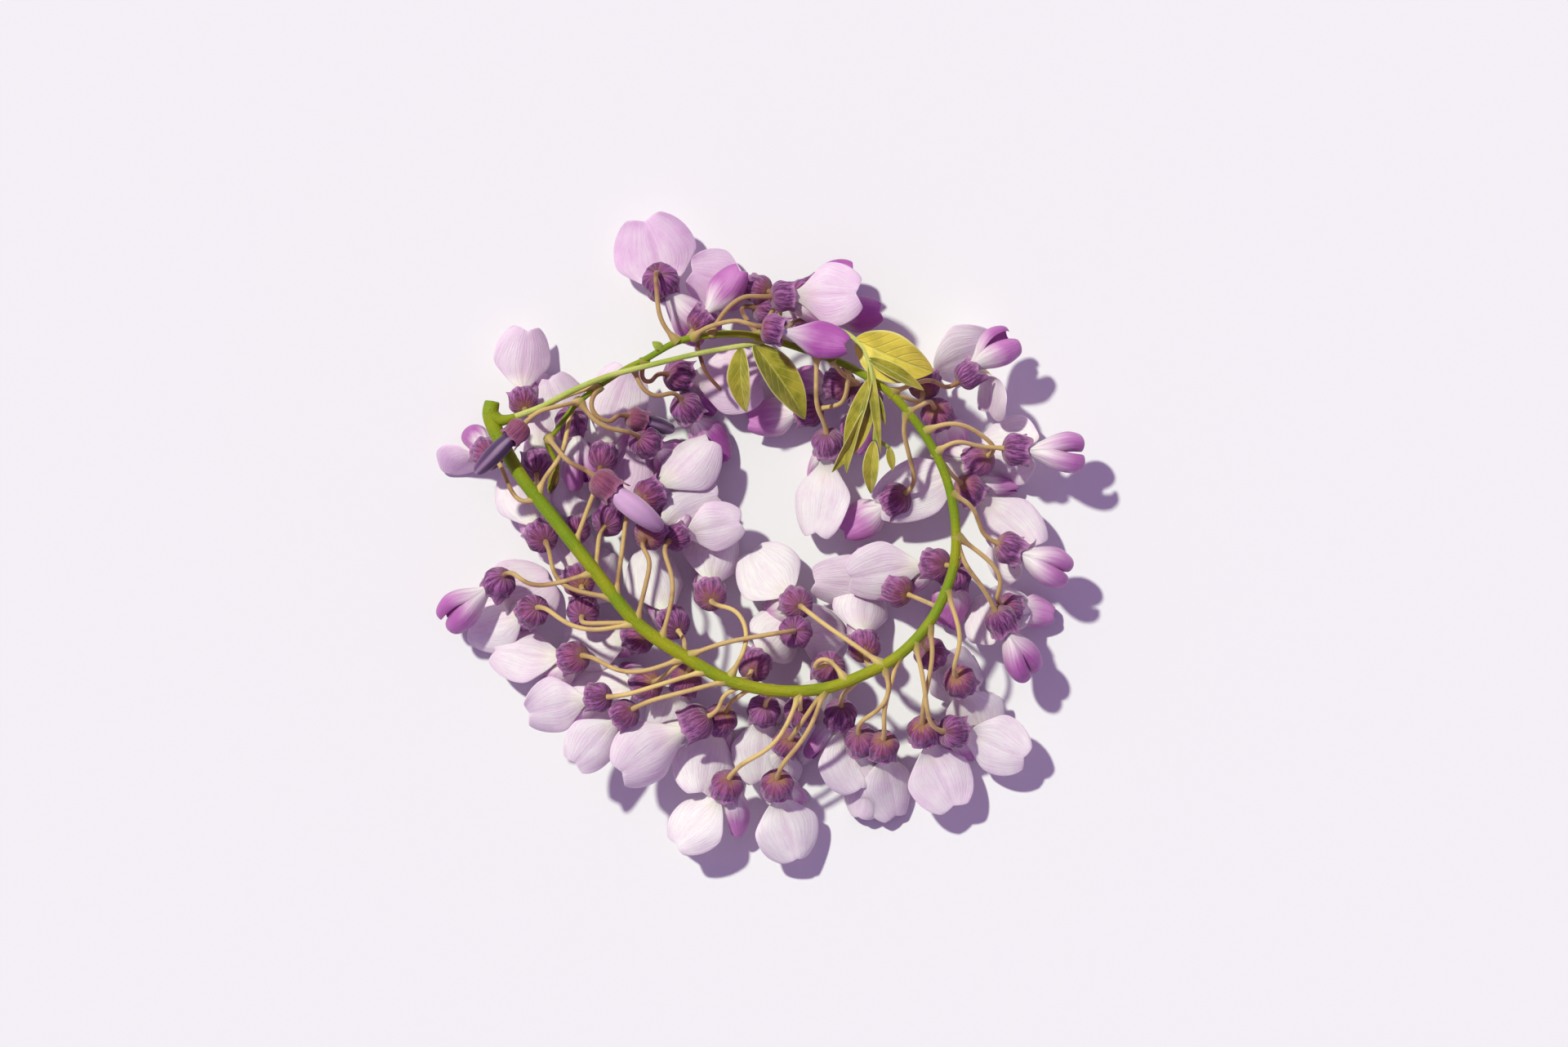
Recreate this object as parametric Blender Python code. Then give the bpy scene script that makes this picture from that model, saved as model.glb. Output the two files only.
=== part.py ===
"""A wisteria flower stem with its young leaf, cut off together and curled into a wreath.

The objects are in metres, +Z up. The wreath lies on the plane z = 0, with the middle of its box over
the origin. Shapes are worked out in millimetres and scaled as their objects are made. A place read off
the photograph is given in its pixels, of 0.2 mm each, and at() turns it into millimetres.
"""

import itertools
import math
import random
from collections import Counter
from dataclasses import dataclass

import bmesh
import bpy
from mathutils import Matrix, Vector
from mathutils.bvhtree import BVHTree

MM = 0.001

# The photograph's scale and its middle, and where the wreath's own middle lies from there.
PIXEL = 0.2
MIDDLE_PX = (960, 641)
CENTRE = (-6.06, -4.1)

# One flower, lying along +X from its stalk, banner side up. Sizes in millimetres.
CALYX_LENGTH = 7.0
CALYX_RINGS = ((0.0, 1.3), (1.6, 3.5), (CALYX_LENGTH, 4.2))
CALYX_SIDES = 5
CALYX_TOOTH = 0.6
BANNER_LENGTH = 18.5
BANNER_HALF_WIDTH = 9.6
HALF_OPEN_BANNER = 7.6
BANNER_NOTCH = 0.12
BANNER_CLAW = 0.17
BANNER_CLAW_LENGTH = 4.0
BANNER_BEND_LENGTH = 3.5
BANNER_START = (3.2, 2.5)
WING_LENGTH = 16.5
WING_HALF_WIDTH = 3.5
WING_CLAW = 0.25
WING_CLAW_LENGTH = 4.0
WING_START = (3.4, 1.4, -1.5)
KEEL_LENGTH = 14.0
KEEL_HALF_HEIGHT = 2.0
KEEL_HALF_WIDTH = 0.9
KEEL_START = (3.4, -1.7)
KEEL_BENDS = ((7.0, -0.12), (KEEL_LENGTH - 7.0, 0.95))
CLASPED_LENGTH = 15.5
CLASPED_HALF_HEIGHT = 3.3
CLASPED_HALF_WIDTH = 2.3
CLASPED_START = (3.4, -1.5)
CLASPED_BENDS = ((8.0, -0.12), (CLASPED_LENGTH - 8.0, 0.5))
WIDE_OPEN = 60.0
POD_LENGTH = 12.5
POD_HALF_HEIGHT = 3.1
POD_HALF_WIDTH = 2.4
POD_START = (4.6, 0.2)
POD_BENDS = ((POD_LENGTH, -0.5),)
PETAL_THICKNESS = 0.62

# The stem and its flower stalks.
RACHIS_SIDES = 5
RACHIS_STEPS = 2
STALK_RADIUS = 0.62
STALK_SIDES = 3
STALK_STEPS = 6
STALK_APPROACH = 4.0
STALK_GAP = 0.3
STALK_ARCHES = (2, 3, 4, 1, 5, 0, 6, 7, -1, 8, -2, 9, -3, 10, -4, 12, -5, 14, 16, 18)
STALK_SWAYS = (0, 1, -1, 2, -2, 3, -3, 4.5, -4.5, 6, -6, 8, -8, 10, -10)
CLEARANCE = 0.35
WELD = 0.001

# How far a flower may be lifted, turned and tipped to lie clear of the rest, and how dear each is.
LIFTS = [0.5 * step for step in range(70)]
TURNS = (0, 7, -7, 14, -14, 21, -21, 28, -28)
TIPS = (0, 7, -7, 14, -14, 21)
DEGREE_COST = 0.12


def at(px, py, height=0.0):
    """The place over a pixel of the photograph, in millimetres."""
    x = (px - MIDDLE_PX[0]) * PIXEL - CENTRE[0]
    y = (MIDDLE_PX[1] - py) * PIXEL - CENTRE[1]
    return Vector((x, y, height))


@dataclass(frozen=True)
class Bloom:
    """One flower: where its stalk joins it, how it lies, and where the stalk leaves the stem.

    Flowers of one name lie in each other and are one solid. Angles are in degrees, and a dip turns the
    flower's mouth down. over is the least height of one that lies on others or on the stem, and rise is how
    far one lies above the lowest of its name.
    """

    name: str
    joint: tuple
    heading: float
    dip: float = 30.0
    roll: float = 0.0
    stage: str = "open"
    root: tuple = ()
    via: tuple = ()
    reflex: float = 45.0
    size: float = 1.0
    over: float = 0.0
    rise: float = 0.0


# The flower stem from the cut heel to the tip: pixel, height and radius in millimetres.
RACHIS = (
    (604, 491, 25.0, 1.9),
    (602, 510, 25.0, 2.1),
    (613, 538, 25.5, 1.9),
    (640, 585, 26.0, 1.75),
    (680, 636, 26.5, 1.75),
    (730, 700, 27.0, 1.7),
    (780, 762, 27.0, 1.7),
    (840, 804, 27.0, 1.65),
    (892, 832, 27.0, 1.6),
    (950, 845, 27.0, 1.55),
    (1010, 842, 27.0, 1.5),
    (1060, 824, 27.0, 1.45),
    (1100, 802, 27.0, 1.4),
    (1136, 764, 27.0, 1.35),
    (1158, 722, 27.0, 1.3),
    (1169, 680, 27.0, 1.25),
    (1168, 630, 27.0, 1.2),
    (1156, 580, 27.0, 1.15),
    (1130, 530, 27.0, 1.1),
    (1090, 482, 27.0, 1.05),
    (1040, 450, 26.5, 1.0),
    (1000, 434, 26.0, 0.95),
    (950, 418, 26.0, 0.9),
    (910, 410, 26.0, 0.9),
    (870, 411, 26.0, 0.9),
    (830, 419, 26.0, 0.85),
    (790, 441, 25.0, 0.8),
    (760, 456, 23.5, 0.75),
    (710, 492, 24.0, 0.7),
    (680, 530, 24.5, 0.65),
    (670, 542, 24.0, 0.6),
    (683, 572, 23.0, 0.6),
    (672, 600, 21.5, 0.6),
)
# What else grows on the stem: the young buds at its tip, a scale and a stalk whose flower has dropped.
TIP_BUDS = ((682, 574, 22.8), (673, 605, 20.0))
TIP_BUDS_RADIUS = 1.6
SCALE = ((811, 428, 26.0), (799, 419, 26.8))
SCALE_HALF_WIDTH = 1.1
BARE_STALK = ((858, 411, 26.0), (855, 425, 23.8), (864, 455, 21.5), (883, 478, 18.0))

# The leaf's stalk, and the thinner one that carries its last leaflets: pixel, height and radius.
LEAF_STALK = (
    (618, 515, 26.4, 1.1),
    (634, 510, 26.8, 0.85),
    (665, 498, 27.0, 0.75),
    (700, 480, 26.9, 0.75),
    (740, 463, 26.6, 0.75),
    (780, 452, 26.5, 0.75),
    (820, 442, 26.5, 0.7),
    (858, 433, 25.3, 0.7),
    (890, 427, 24.0, 0.7),
    (920, 422, 23.0, 0.7),
    (950, 415, 22.8, 0.65),
    (985, 406, 24.0, 0.65),
    (1020, 403, 26.2, 0.6),
    (1045, 415, 28.0, 0.6),
    (1062, 440, 29.3, 0.6),
    (1068, 466, 29.8, 0.55),
    (1072, 500, 28.8, 0.5),
    (1070, 541, 27.2, 0.5),
)
SIDE_STALK = ((1070, 536, 27.4, 0.5), (1080, 543, 27.0, 0.5), (1088, 548, 26.6, 0.5))


@dataclass(frozen=True)
class Leaflet:
    """One leaflet from base to tip, pixel and height, folded up along its middle and rolled, in degrees."""

    base: tuple
    tip: tuple
    half_width: float
    fold: float = 25.0
    roll: float = 0.0
    bow: float = 1.5


LEAFLETS = (
    Leaflet((908, 425, 23.5), (914, 505, 18.0), 3.4, 30, 25),
    Leaflet((922, 421, 23.0), (986, 514, 17.5), 5.0, 30, -20),
    Leaflet((1046, 416, 28.1), (1143, 456, 27.5), 6.4, 15, 15, 2.5),
    Leaflet((1062, 440, 29.3), (1131, 479, 29.3), 2.2, 40, -10),
    Leaflet((1067, 462, 29.7), (1036, 580, 24.5), 2.6, 35, 30),
    Leaflet((1070, 486, 29.2), (1018, 579, 23.5), 2.6, 35, -25),
    Leaflet((1064, 444, 29.5), (1078, 556, 28.6), 1.1, 20, 0, 1.0),
    Leaflet((1070, 540, 27.2), (1066, 605, 23.5), 2.3, 35, 10),
    Leaflet((1071, 480, 29.3), (1084, 521, 28.0), 1.0, 20, 10, 0.5),
    Leaflet((1088, 548, 26.6), (1093, 577, 25.2), 1.0, 20, 0, 0.5),
)

BLOOMS = (
    Bloom("bloom_top_1", (806, 337), -66, 65, -172, "open", (832, 417), ((805, 355), (806, 380), (812, 400)),
          112, 1.12),
    Bloom("bloom_top_2", (940, 356), 165, 35, 0, "open", (925, 412), reflex=45, size=0.9),
    Bloom("bloom_top_2", (925, 376), -10, 25, 0, "half", (920, 412), ((912, 388),), size=0.85),
    Bloom("bloom_top_3", (849, 404), 52, 20, 0, "half", (853, 412), size=0.9),
    Bloom("bloom_top_4", (994, 390), 6, 12, 0, "half", (960, 420), size=0.95),
    Bloom("bloom_top_4", (974, 366), 26, 14, 0, "half", (944, 417)),
    Bloom("bloom_top_9", (945, 364), -5, 10, 0, "open", (878, 411),
          ((920, 360), (900, 370), (885, 385)), 28, 0.95, over=14),
    Bloom("bloom_top_5", (933, 402), -12, 5, 0, "half", (855, 413), ((910, 392), (865, 402)), size=0.95,
          over=27.5),
    Bloom("bloom_top_6", (818, 458), -5, 38, 0, "open", (790, 442), ((800, 468), (785, 465)), 48),
    Bloom("bloom_top_7", (834, 490), -55, 45, 0, "half", (775, 448), ((805, 487), (785, 475))),
    Bloom("bloom_top_8", (782, 535), -12, 35, 0, "half", (722, 484), ((745, 525), (728, 515))),
    Bloom("bloom_top_8", (769, 510), 5, 15, 0, "bud", (733, 474), ((750, 520), (730, 510), (721, 495)),
          size=0.9, rise=7),
    Bloom("bloom_left_1", (700, 506), -95, 48, 180, "open", (653, 602),
          ((694, 530), (690, 560), (665, 585)), 125),
    Bloom("bloom_left_2", (642, 500), 105, 50, 0, "open", (742, 470), ((668, 498), (700, 482)), 55, 0.88),
    Bloom("bloom_left_3", (657, 580), 72, 45, 0, "half", (668, 618)),
    Bloom("bloom_left_18", (603, 560), 150, 62, 0, "half", (668, 620), ((635, 615),)),
    Bloom("bloom_left_1", (735, 572), 85, 48, 0, "open", (700, 660), reflex=55),
    Bloom("bloom_left_8", (740, 645), 60, 55, 0, "half", (742, 712)),
    Bloom("bloom_left_5", (784, 612), 42, 38, 0, "half", (768, 745)),
    Bloom("bloom_left_5", (790, 660), 60, 55, 0, "half", (770, 748), ((798, 680), (795, 700))),
    Bloom("bloom_left_6", (668, 663), 130, 60, 0, "half", (757, 734), ((674, 690), (690, 718))),
    Bloom("bloom_left_5", (820, 662), 40, 52, 0, "open", (813, 785), ((826, 715),), 55, 0.85),
    Bloom("bloom_left_16", (706, 655), 100, 65, 0, "half", (730, 700), size=0.85),
    Bloom("bloom_left_11", (712, 718), 120, 55, 0, "half", (752, 728)),
    Bloom("bloom_left_9", (617, 705), 235, 45, 180, "open", (720, 690), ((640, 714), (670, 717)), 95),
    Bloom("bloom_left_10", (658, 744), 200, 62, 0, "half", (775, 755), ((680, 755), (705, 768), (730, 772))),
    Bloom("bloom_left_11", (713, 755), 85, 60, 0, "half", (768, 748)),
    Bloom("bloom_left_17", (790, 778), 200, 55, 0, "half", (845, 808)),
    Bloom("bloom_left_12", (712, 803), 187, 50, 0, "open", (832, 799),
          ((740, 815), (765, 823), (790, 822)), 55),
    Bloom("bloom_left_13", (728, 583), -38, 5, 0, "bud", (676, 534), ((705, 572), (690, 558)),
          size=1.25, over=25),
    Bloom("bloom_left_14", (645, 519), 225, 0, 0, "bud", (700, 499), over=28),
    Bloom("bloom_low_1", (800, 835), 205, 55, 0, "open", (850, 810), reflex=58),
    Bloom("bloom_low_2", (842, 825), 250, 60, 0, "half", (860, 815)),
    Bloom("bloom_low_19", (867, 877), 206, 20, 0, "half", (960, 844),
          ((880, 855), (900, 843), (930, 835)), 35, 1.15, over=9),
    Bloom("bloom_low_3", (744, 853), 210, 38, 0, "open", (870, 822), reflex=45, size=0.9),
    Bloom("bloom_low_3", (775, 868), 240, 38, 0, "open", (885, 828), reflex=45, size=0.9, rise=1),
    Bloom("bloom_low_4", (888, 872), 240, 45, 0, "open", (908, 838), reflex=55),
    Bloom("bloom_low_18", (893, 953), 238, 50, 0, "open", (977, 845), ((940, 918), (960, 895)), 58),
    Bloom("bloom_low_5", (937, 864), 255, 55, 0, "open", (945, 844), reflex=58),
    Bloom("bloom_low_5", (968, 905), 238, 50, 0, "half", (1000, 843), size=0.9),
    Bloom("bloom_low_6", (980, 868), 280, 60, 0, "half", (985, 844)),
    Bloom("bloom_low_7", (1030, 865), 245, 48, 0, "open", (1050, 828), reflex=55),
    Bloom("bloom_low_17", (952, 953), 268, 50, 0, "open", (1012, 841), ((990, 895),), 58),
    Bloom("bloom_low_7", (1052, 898), 262, 50, 0, "half", (1085, 812), ((1075, 870), (1090, 845))),
    Bloom("bloom_low_7", (1082, 905), 242, 55, 0, "half", (1093, 806), ((1082, 870),)),
    Bloom("bloom_low_9", (1130, 886), 262, 50, 0, "open", (1138, 761), ((1142, 800),), 55),
    Bloom("bloom_low_9", (1156, 896), -15, 48, 0, "open", (1122, 782), ((1135, 870), (1130, 830)), 55),
    Bloom("bloom_low_11", (1135, 795), -70, 60, 0, "half", (1136, 766)),
    Bloom("bloom_low_11", (1171, 828), 285, 55, 0, "half", (1160, 716), ((1176, 780),)),
    Bloom("bloom_low_12", (1060, 802), 100, 50, 0, "half", (1075, 818)),
    Bloom("bloom_low_20", (1018, 812), 240, 60, 0, "half", (1040, 831),
          ((993, 825), (1000, 805), (1015, 803))),
    Bloom("bloom_low_13", (980, 742), 118, 48, 0, "open", (1085, 811), ((1010, 765), (1040, 785)), 52),
    Bloom("bloom_low_13", (972, 773), -50, 62, 0, "half", (843, 806), ((920, 780), (880, 788))),
    Bloom("bloom_low_14", (871, 736), 100, 60, 0, "half", (906, 835),
          ((890, 738), (905, 748), (915, 768), (915, 790))),
    Bloom("bloom_low_15", (830, 772), 125, 50, 0, "half", (825, 795)),
    Bloom("bloom_low_16", (920, 822), 60, 55, 0, "half", (900, 836)),
    Bloom("bloom_right_1", (1130, 480), 80, 48, 0, "open", (1098, 488), reflex=52),
    Bloom("bloom_right_13", (1174, 467), 35, 10, 130, "open", (1094, 484), ((1140, 464),), 85, 0.9, over=4),
    Bloom("bloom_right_2", (1144, 500), -60, 60, 0, "half", (1108, 500)),
    Bloom("bloom_right_3", (1229, 549), -5, 15, 180, "open", (1138, 545), ((1200, 548), (1170, 540)), 88),
    Bloom("bloom_right_4", (1210, 558), 205, 42, 0, "open", (1126, 522), ((1190, 525), (1160, 517)), 48),
    Bloom("bloom_right_4", (1178, 592), -40, 42, 0, "open", (1150, 565), reflex=48),
    Bloom("bloom_right_5", (1222, 665), -25, 25, 180, "open", (1162, 600), ((1190, 620),), 85),
    Bloom("bloom_right_6", (1219, 748), -62, 28, 180, "open", (1169, 655), ((1200, 715), (1180, 690)), 85),
    Bloom("bloom_right_6", (1228, 742), -10, 50, 0, "half", (1172, 662), ((1228, 715), (1215, 690)),
          size=0.85),
    Bloom("bloom_right_7", (1112, 728), 172, 35, 0, "open", (1152, 738), reflex=42),
    Bloom("bloom_right_7", (1158, 692), 190, 42, 0, "open", (1168, 690), reflex=50, rise=3),
    Bloom("bloom_right_7", (1172, 694), -85, 50, 0, "half", (1172, 670)),
    Bloom("bloom_right_9", (1108, 604), 212, 35, 0, "half", (1112, 508), ((1104, 520),)),
    Bloom("bloom_right_10", (1040, 470), 180, 45, 0, "half", (1020, 442), ((1030, 458),)),
    Bloom("bloom_right_14", (1012, 530), -82, 40, 0, "open", (1000, 434), ((1000, 500),), 45),
    Bloom("bloom_right_11", (1063, 478), 250, 50, 0, "half", (1060, 462)),
    Bloom("bloom_right_12", (1004, 500), 190, 8, 0, "half", (1043, 452), ((1025, 497), (1035, 488))),
)

COLOURS = {
    "stem": (0.42, 0.50, 0.10),
    "leaf": (0.35, 0.36, 0.02),
    "bloom": (0.79, 0.66, 0.80),
    "lilac": (0.60, 0.36, 0.68),
    "bud": (0.22, 0.09, 0.30),
}


def ease(value, start, end):
    """Nought up to start, one from end on, and a smooth rise between."""
    t = min(max((value - start) / (end - start), 0.0), 1.0)
    return t * t * (3 - 2 * t)


def follow(distance, bends):
    """Where a strip has got to that turns evenly through each bend in turn, as x, z and its angle."""
    x = z = angle = 0.0
    for length, turn in bends:
        run = min(distance, length)
        swing = turn * run / length
        if abs(swing) < 1e-9:
            x += run * math.cos(angle)
            z += run * math.sin(angle)
        else:
            radius = length / turn
            x += radius * (math.sin(angle + swing) - math.sin(angle))
            z += radius * (math.cos(angle) - math.cos(angle + swing))
        angle += swing
        distance -= run
        if distance <= 0:
            break
    return x, z, angle


def blade_half_width(u, claw, open_from, open_to, round_from):
    """The outline of a petal: a narrow claw, a wide blade and a round end, as a share of its width."""
    width = claw + (1 - claw) * ease(u, open_from, open_to)
    end = max(0.0, u - round_from) / (1.05 - round_from)
    return width * math.sqrt(1 - end * end)


def banner_point(u, v, shape):
    """A point of the banner: u runs from the claw to the tip, v from edge to edge."""
    notch = BANNER_NOTCH * (1 - abs(v)) ** 2 * ease(u, 0.6, 1.0)
    blade_length = BANNER_LENGTH - BANNER_CLAW_LENGTH - BANNER_BEND_LENGTH
    bends = ((BANNER_CLAW_LENGTH, 0.0), (BANNER_BEND_LENGTH, shape.reflex), (blade_length, shape.curl))
    x, z, angle = follow(BANNER_LENGTH * (u - notch), bends)
    width = shape.banner_width * blade_half_width(u, BANNER_CLAW, 0.12, 0.55, 0.55)
    radius = 2 * width / shape.hood
    across = v * shape.hood / 2
    drop = radius * (1 - math.cos(across))
    drop += shape.wave * width * v * abs(v) * math.sin(5.0 * u + shape.phase)
    x += BANNER_START[0] + drop * math.sin(angle)
    z += BANNER_START[1] - drop * math.cos(angle)
    return Vector((x, radius * math.sin(across), z))


def wing_point(u, v, side, shape):
    """A point of a wing: u runs from the claw to the tip, v from the lower edge to the upper one."""
    bends = ((WING_CLAW_LENGTH, shape.splay), (WING_LENGTH - WING_CLAW_LENGTH, -1.7 * shape.splay))
    x, y, angle = follow(WING_LENGTH * u, bends)
    width = WING_HALF_WIDTH * blade_half_width(u, WING_CLAW, 0.12, 0.45, 0.5)
    bulge = 0.28 * width * (1 - v * v) * ease(u, 0.1, 0.4)
    droop = -0.9 * u + 2.2 * ease(u, 0.55, 1.0)
    lean = shape.lean * v * width * ease(u, 0.1, 0.4)
    x += WING_START[0] - bulge * math.sin(angle)
    y += WING_START[1] + bulge * math.cos(angle) - lean
    return Vector((x, side * y, v * width + droop + WING_START[2]))


def oval_ring(start, place, full, half_width, half_height, sides):
    """A ring of points round a long oval body, at a place along its bent middle line."""
    x, z, angle = place
    centre = Vector((start[0] + x, 0.0, start[1] + z))
    upward = Vector((-math.sin(angle), 0.0, math.cos(angle)))
    points = []
    for corner in range(sides):
        turn = math.tau * corner / sides
        sideways = Vector((0.0, half_width * full * math.sin(turn), 0.0))
        points.append(centre + sideways + upward * (half_height * full * math.cos(turn)))
    return points


def keel_ring(u, sides):
    """A ring of points round the keel at u of its length."""
    place = follow(KEEL_LENGTH * u, KEEL_BENDS)
    full = (0.35 + 0.65 * ease(u, 0.0, 0.4)) * math.sqrt(1 - (max(0.0, u - 0.45) / 0.58) ** 2)
    return oval_ring(KEEL_START, place, full, KEEL_HALF_WIDTH, KEEL_HALF_HEIGHT, sides)


def clasped_ring(u, sides):
    """A ring of points round two wings that still clasp the keel."""
    place = follow(CLASPED_LENGTH * u, CLASPED_BENDS)
    full = (0.3 + 0.7 * ease(u, 0.0, 0.45)) * math.sqrt(1 - (max(0.0, u - 0.5) / 0.53) ** 2)
    return oval_ring(CLASPED_START, place, full, CLASPED_HALF_WIDTH, CLASPED_HALF_HEIGHT, sides)


def pod_ring(u, sides):
    """A ring of points round a closed bud at u of its length."""
    place = follow(POD_LENGTH * u, POD_BENDS)
    full = (0.75 + 0.25 * ease(u, 0.0, 0.35)) * math.sqrt(1 - (max(0.0, u - 0.35) / 0.68) ** 2)
    return oval_ring(POD_START, place, full, POD_HALF_WIDTH, POD_HALF_HEIGHT, sides)


def leaflet_point(leaflet, u, v):
    """A point of a leaflet: u runs from base to tip, v from edge to edge."""
    base, tip = at(*leaflet.base), at(*leaflet.tip)
    along = (tip - base).normalized()
    side = Vector((0, 0, 1)).cross(along).normalized()
    turn = Matrix.Rotation(math.radians(leaflet.roll), 3, along)
    side, upward = turn @ side, turn @ along.cross(side)
    fold = math.radians(leaflet.fold)
    width = 0.3 + leaflet.half_width * math.sin(math.pi * u**0.85) ** 0.8
    bowed = leaflet.bow * math.sin(math.pi * u)
    lifted = abs(v) * width * math.sin(fold) + bowed
    return base.lerp(tip, u) + side * (v * width * math.cos(fold)) + upward * lifted


@dataclass(frozen=True)
class Shape:
    """How far one flower has opened, in radians, millimetres and shares."""

    reflex: float
    curl: float
    hood: float
    banner_width: float
    wave: float
    phase: float
    splay: float
    lean: float


def shape_of(bloom, number):
    """The flower's own shape, from its stage and a draw that is its own."""
    draw = random.Random(number)
    if bloom.stage == "half":
        return Shape(
            reflex=math.radians(18 + draw.uniform(-4, 10)),
            curl=math.radians(draw.uniform(-15, 5)),
            hood=math.radians(150),
            banner_width=HALF_OPEN_BANNER,
            wave=0.05,
            phase=draw.uniform(0, math.tau),
            splay=math.radians(10 + draw.uniform(0, 5)),
            lean=0.1,
        )
    return Shape(
        reflex=math.radians(bloom.reflex + draw.uniform(-5, 5)),
        curl=math.radians(draw.uniform(-25, 15)),
        hood=math.radians(draw.uniform(35, 75)),
        banner_width=BANNER_HALF_WIDTH * draw.uniform(0.9, 1.0),
        wave=draw.uniform(0.06, 0.12),
        phase=draw.uniform(0, math.tau),
        splay=math.radians(draw.uniform(14, 30)),
        lean=draw.uniform(0.1, 0.35),
    )


def closed_tube(rings):
    """Rings of points joined into a closed tube with flat ends, as points and faces."""
    sides = len(rings[0])
    points = [point for ring in rings for point in ring]
    faces = []
    for ring in range(len(rings) - 1):
        for side in range(sides):
            here = ring * sides + side
            beside = ring * sides + (side + 1) % sides
            faces.append((here, here + sides, beside + sides, beside))
    faces.append(tuple(range(sides)))
    last = (len(rings) - 1) * sides
    faces.append(tuple(last + side for side in reversed(range(sides))))
    return points, faces


def closed_blade(surface, rows, columns, thickness):
    """A thin closed blade about a surface, split into triangles alike on both faces."""
    small = 1e-3
    front, back = [], []
    for row in range(rows + 1):
        for column in range(columns + 1):
            u, v = row / rows, 2 * column / columns - 1
            u_low, u_high = max(u - small, 0.0), min(u + small, 1.0)
            v_low, v_high = max(v - small, -1.0), min(v + small, 1.0)
            along = surface(u_high, v) - surface(u_low, v)
            across = surface(u, v_high) - surface(u, v_low)
            normal = along.cross(across).normalized() * (thickness / 2)
            point = surface(u, v)
            front.append(point + normal)
            back.append(point - normal)
    layer = len(front)
    faces = []

    def index(row, column):
        return row * (columns + 1) + column

    for row in range(rows):
        for column in range(columns):
            a = index(row, column)
            b = index(row + 1, column)
            c = index(row + 1, column + 1)
            d = index(row, column + 1)
            for corners in ((a, b, c), (a, c, d)):
                faces.append(corners)
                faces.append(tuple(layer + corner for corner in reversed(corners)))
    rim = [index(0, column) for column in range(columns)]
    rim += [index(row, columns) for row in range(rows)]
    rim += [index(rows, column) for column in range(columns, 0, -1)]
    rim += [index(row, 0) for row in range(rows, 0, -1)]
    for here, following in zip(rim, rim[1:] + rim[:1]):
        faces.append((here, following, layer + following, layer + here))
    return front + back, faces


def calyx_rings():
    """The cup that the petals grow from, with its teeth, and its mouth closed round them."""
    rings = []
    for x, radius in CALYX_RINGS:
        ring = []
        for side in range(CALYX_SIDES):
            turn = math.tau * (side + 0.5) / CALYX_SIDES
            tooth = CALYX_TOOTH * (-1) ** side if x == CALYX_LENGTH else 0.0
            ring.append(Vector((x + tooth, radius * math.sin(turn), radius * math.cos(turn))))
        rings.append(ring)
    return rings


def flower_pieces(bloom, number):
    """The cup and petals of a flower as closed shapes that run into each other."""
    pieces = [closed_tube(calyx_rings())]
    if bloom.stage == "bud":
        pieces.append(closed_tube([pod_ring(step / 4, 6) for step in range(5)]))
        return pieces
    shape = shape_of(bloom, number)
    rows, columns = (3, 4) if bloom.stage == "open" else (2, 2)
    pieces.append(closed_blade(lambda u, v: banner_point(u, v, shape), rows, columns, PETAL_THICKNESS))
    if bloom.reflex < WIDE_OPEN:
        pieces.append(closed_tube([clasped_ring(u, 4) for u in (0.0, 0.4, 0.75, 1.0)]))
        return pieces
    for side in (-1, 1):

        def wing(u, v, side=side):
            return wing_point(u, v * side, side, shape)

        pieces.append(closed_blade(wing, 3, 1, PETAL_THICKNESS))
    pieces.append(closed_tube([keel_ring(u, 4) for u in (0.0, 0.45, 0.8, 1.0)]))
    return pieces


def material_of(name, colour):
    """A plain finish of one colour."""
    material = bpy.data.materials.new(name)
    material.use_nodes = True
    shader = material.node_tree.nodes["Principled BSDF"]
    shader.inputs["Base Color"].default_value = (*colour, 1.0)
    shader.inputs["Roughness"].default_value = 0.6
    shader.inputs["Metallic"].default_value = 0.0
    return material


def object_of(name, points, faces, scale=1.0):
    """A mesh object with its faces pointing out."""
    mesh = bpy.data.meshes.new(name)
    mesh.from_pydata([tuple(point * scale) for point in points], [], faces)
    editor = bmesh.new()
    editor.from_mesh(mesh)
    bmesh.ops.recalc_face_normals(editor, faces=editor.faces)
    if editor.calc_volume(signed=True) < 0:
        bmesh.ops.reverse_faces(editor, faces=editor.faces)
    editor.to_mesh(mesh)
    editor.free()
    piece = bpy.data.objects.new(name, mesh)
    bpy.context.scene.collection.objects.link(piece)
    return piece


def fuse(name, pieces):
    """One solid out of pieces that run into each other, as points and triangles with no needless slivers."""
    base = object_of(name, *pieces[0])
    helpers = bpy.data.collections.new(name + "_pieces")
    for number, piece in enumerate(pieces[1:]):
        helper = object_of(f"{name}_{number}", *piece)
        bpy.context.scene.collection.objects.unlink(helper)
        helpers.objects.link(helper)
    union = base.modifiers.new("Union", "BOOLEAN")
    union.operation = "UNION"
    union.operand_type = "COLLECTION"
    union.collection = helpers
    union.solver = "MANIFOLD"
    graph = bpy.context.evaluated_depsgraph_get()
    editor = bmesh.new()
    editor.from_mesh(base.evaluated_get(graph).to_mesh())
    bmesh.ops.remove_doubles(editor, verts=editor.verts, dist=WELD)
    bmesh.ops.dissolve_degenerate(editor, edges=editor.edges, dist=WELD)
    bmesh.ops.triangulate(editor, faces=editor.faces)
    alike = Counter(frozenset(face.verts) for face in editor.faces)
    folded = [face for face in editor.faces if alike[frozenset(face.verts)] > 1]
    bmesh.ops.delete(editor, geom=folded, context="FACES")
    editor.verts.index_update()
    points = [vertex.co.copy() for vertex in editor.verts]
    faces = [tuple(vertex.index for vertex in face.verts) for face in editor.faces]
    editor.free()
    for helper in list(helpers.objects):
        bpy.data.objects.remove(helper)
    bpy.data.collections.remove(helpers)
    bpy.data.objects.remove(base)
    return points, faces


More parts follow.
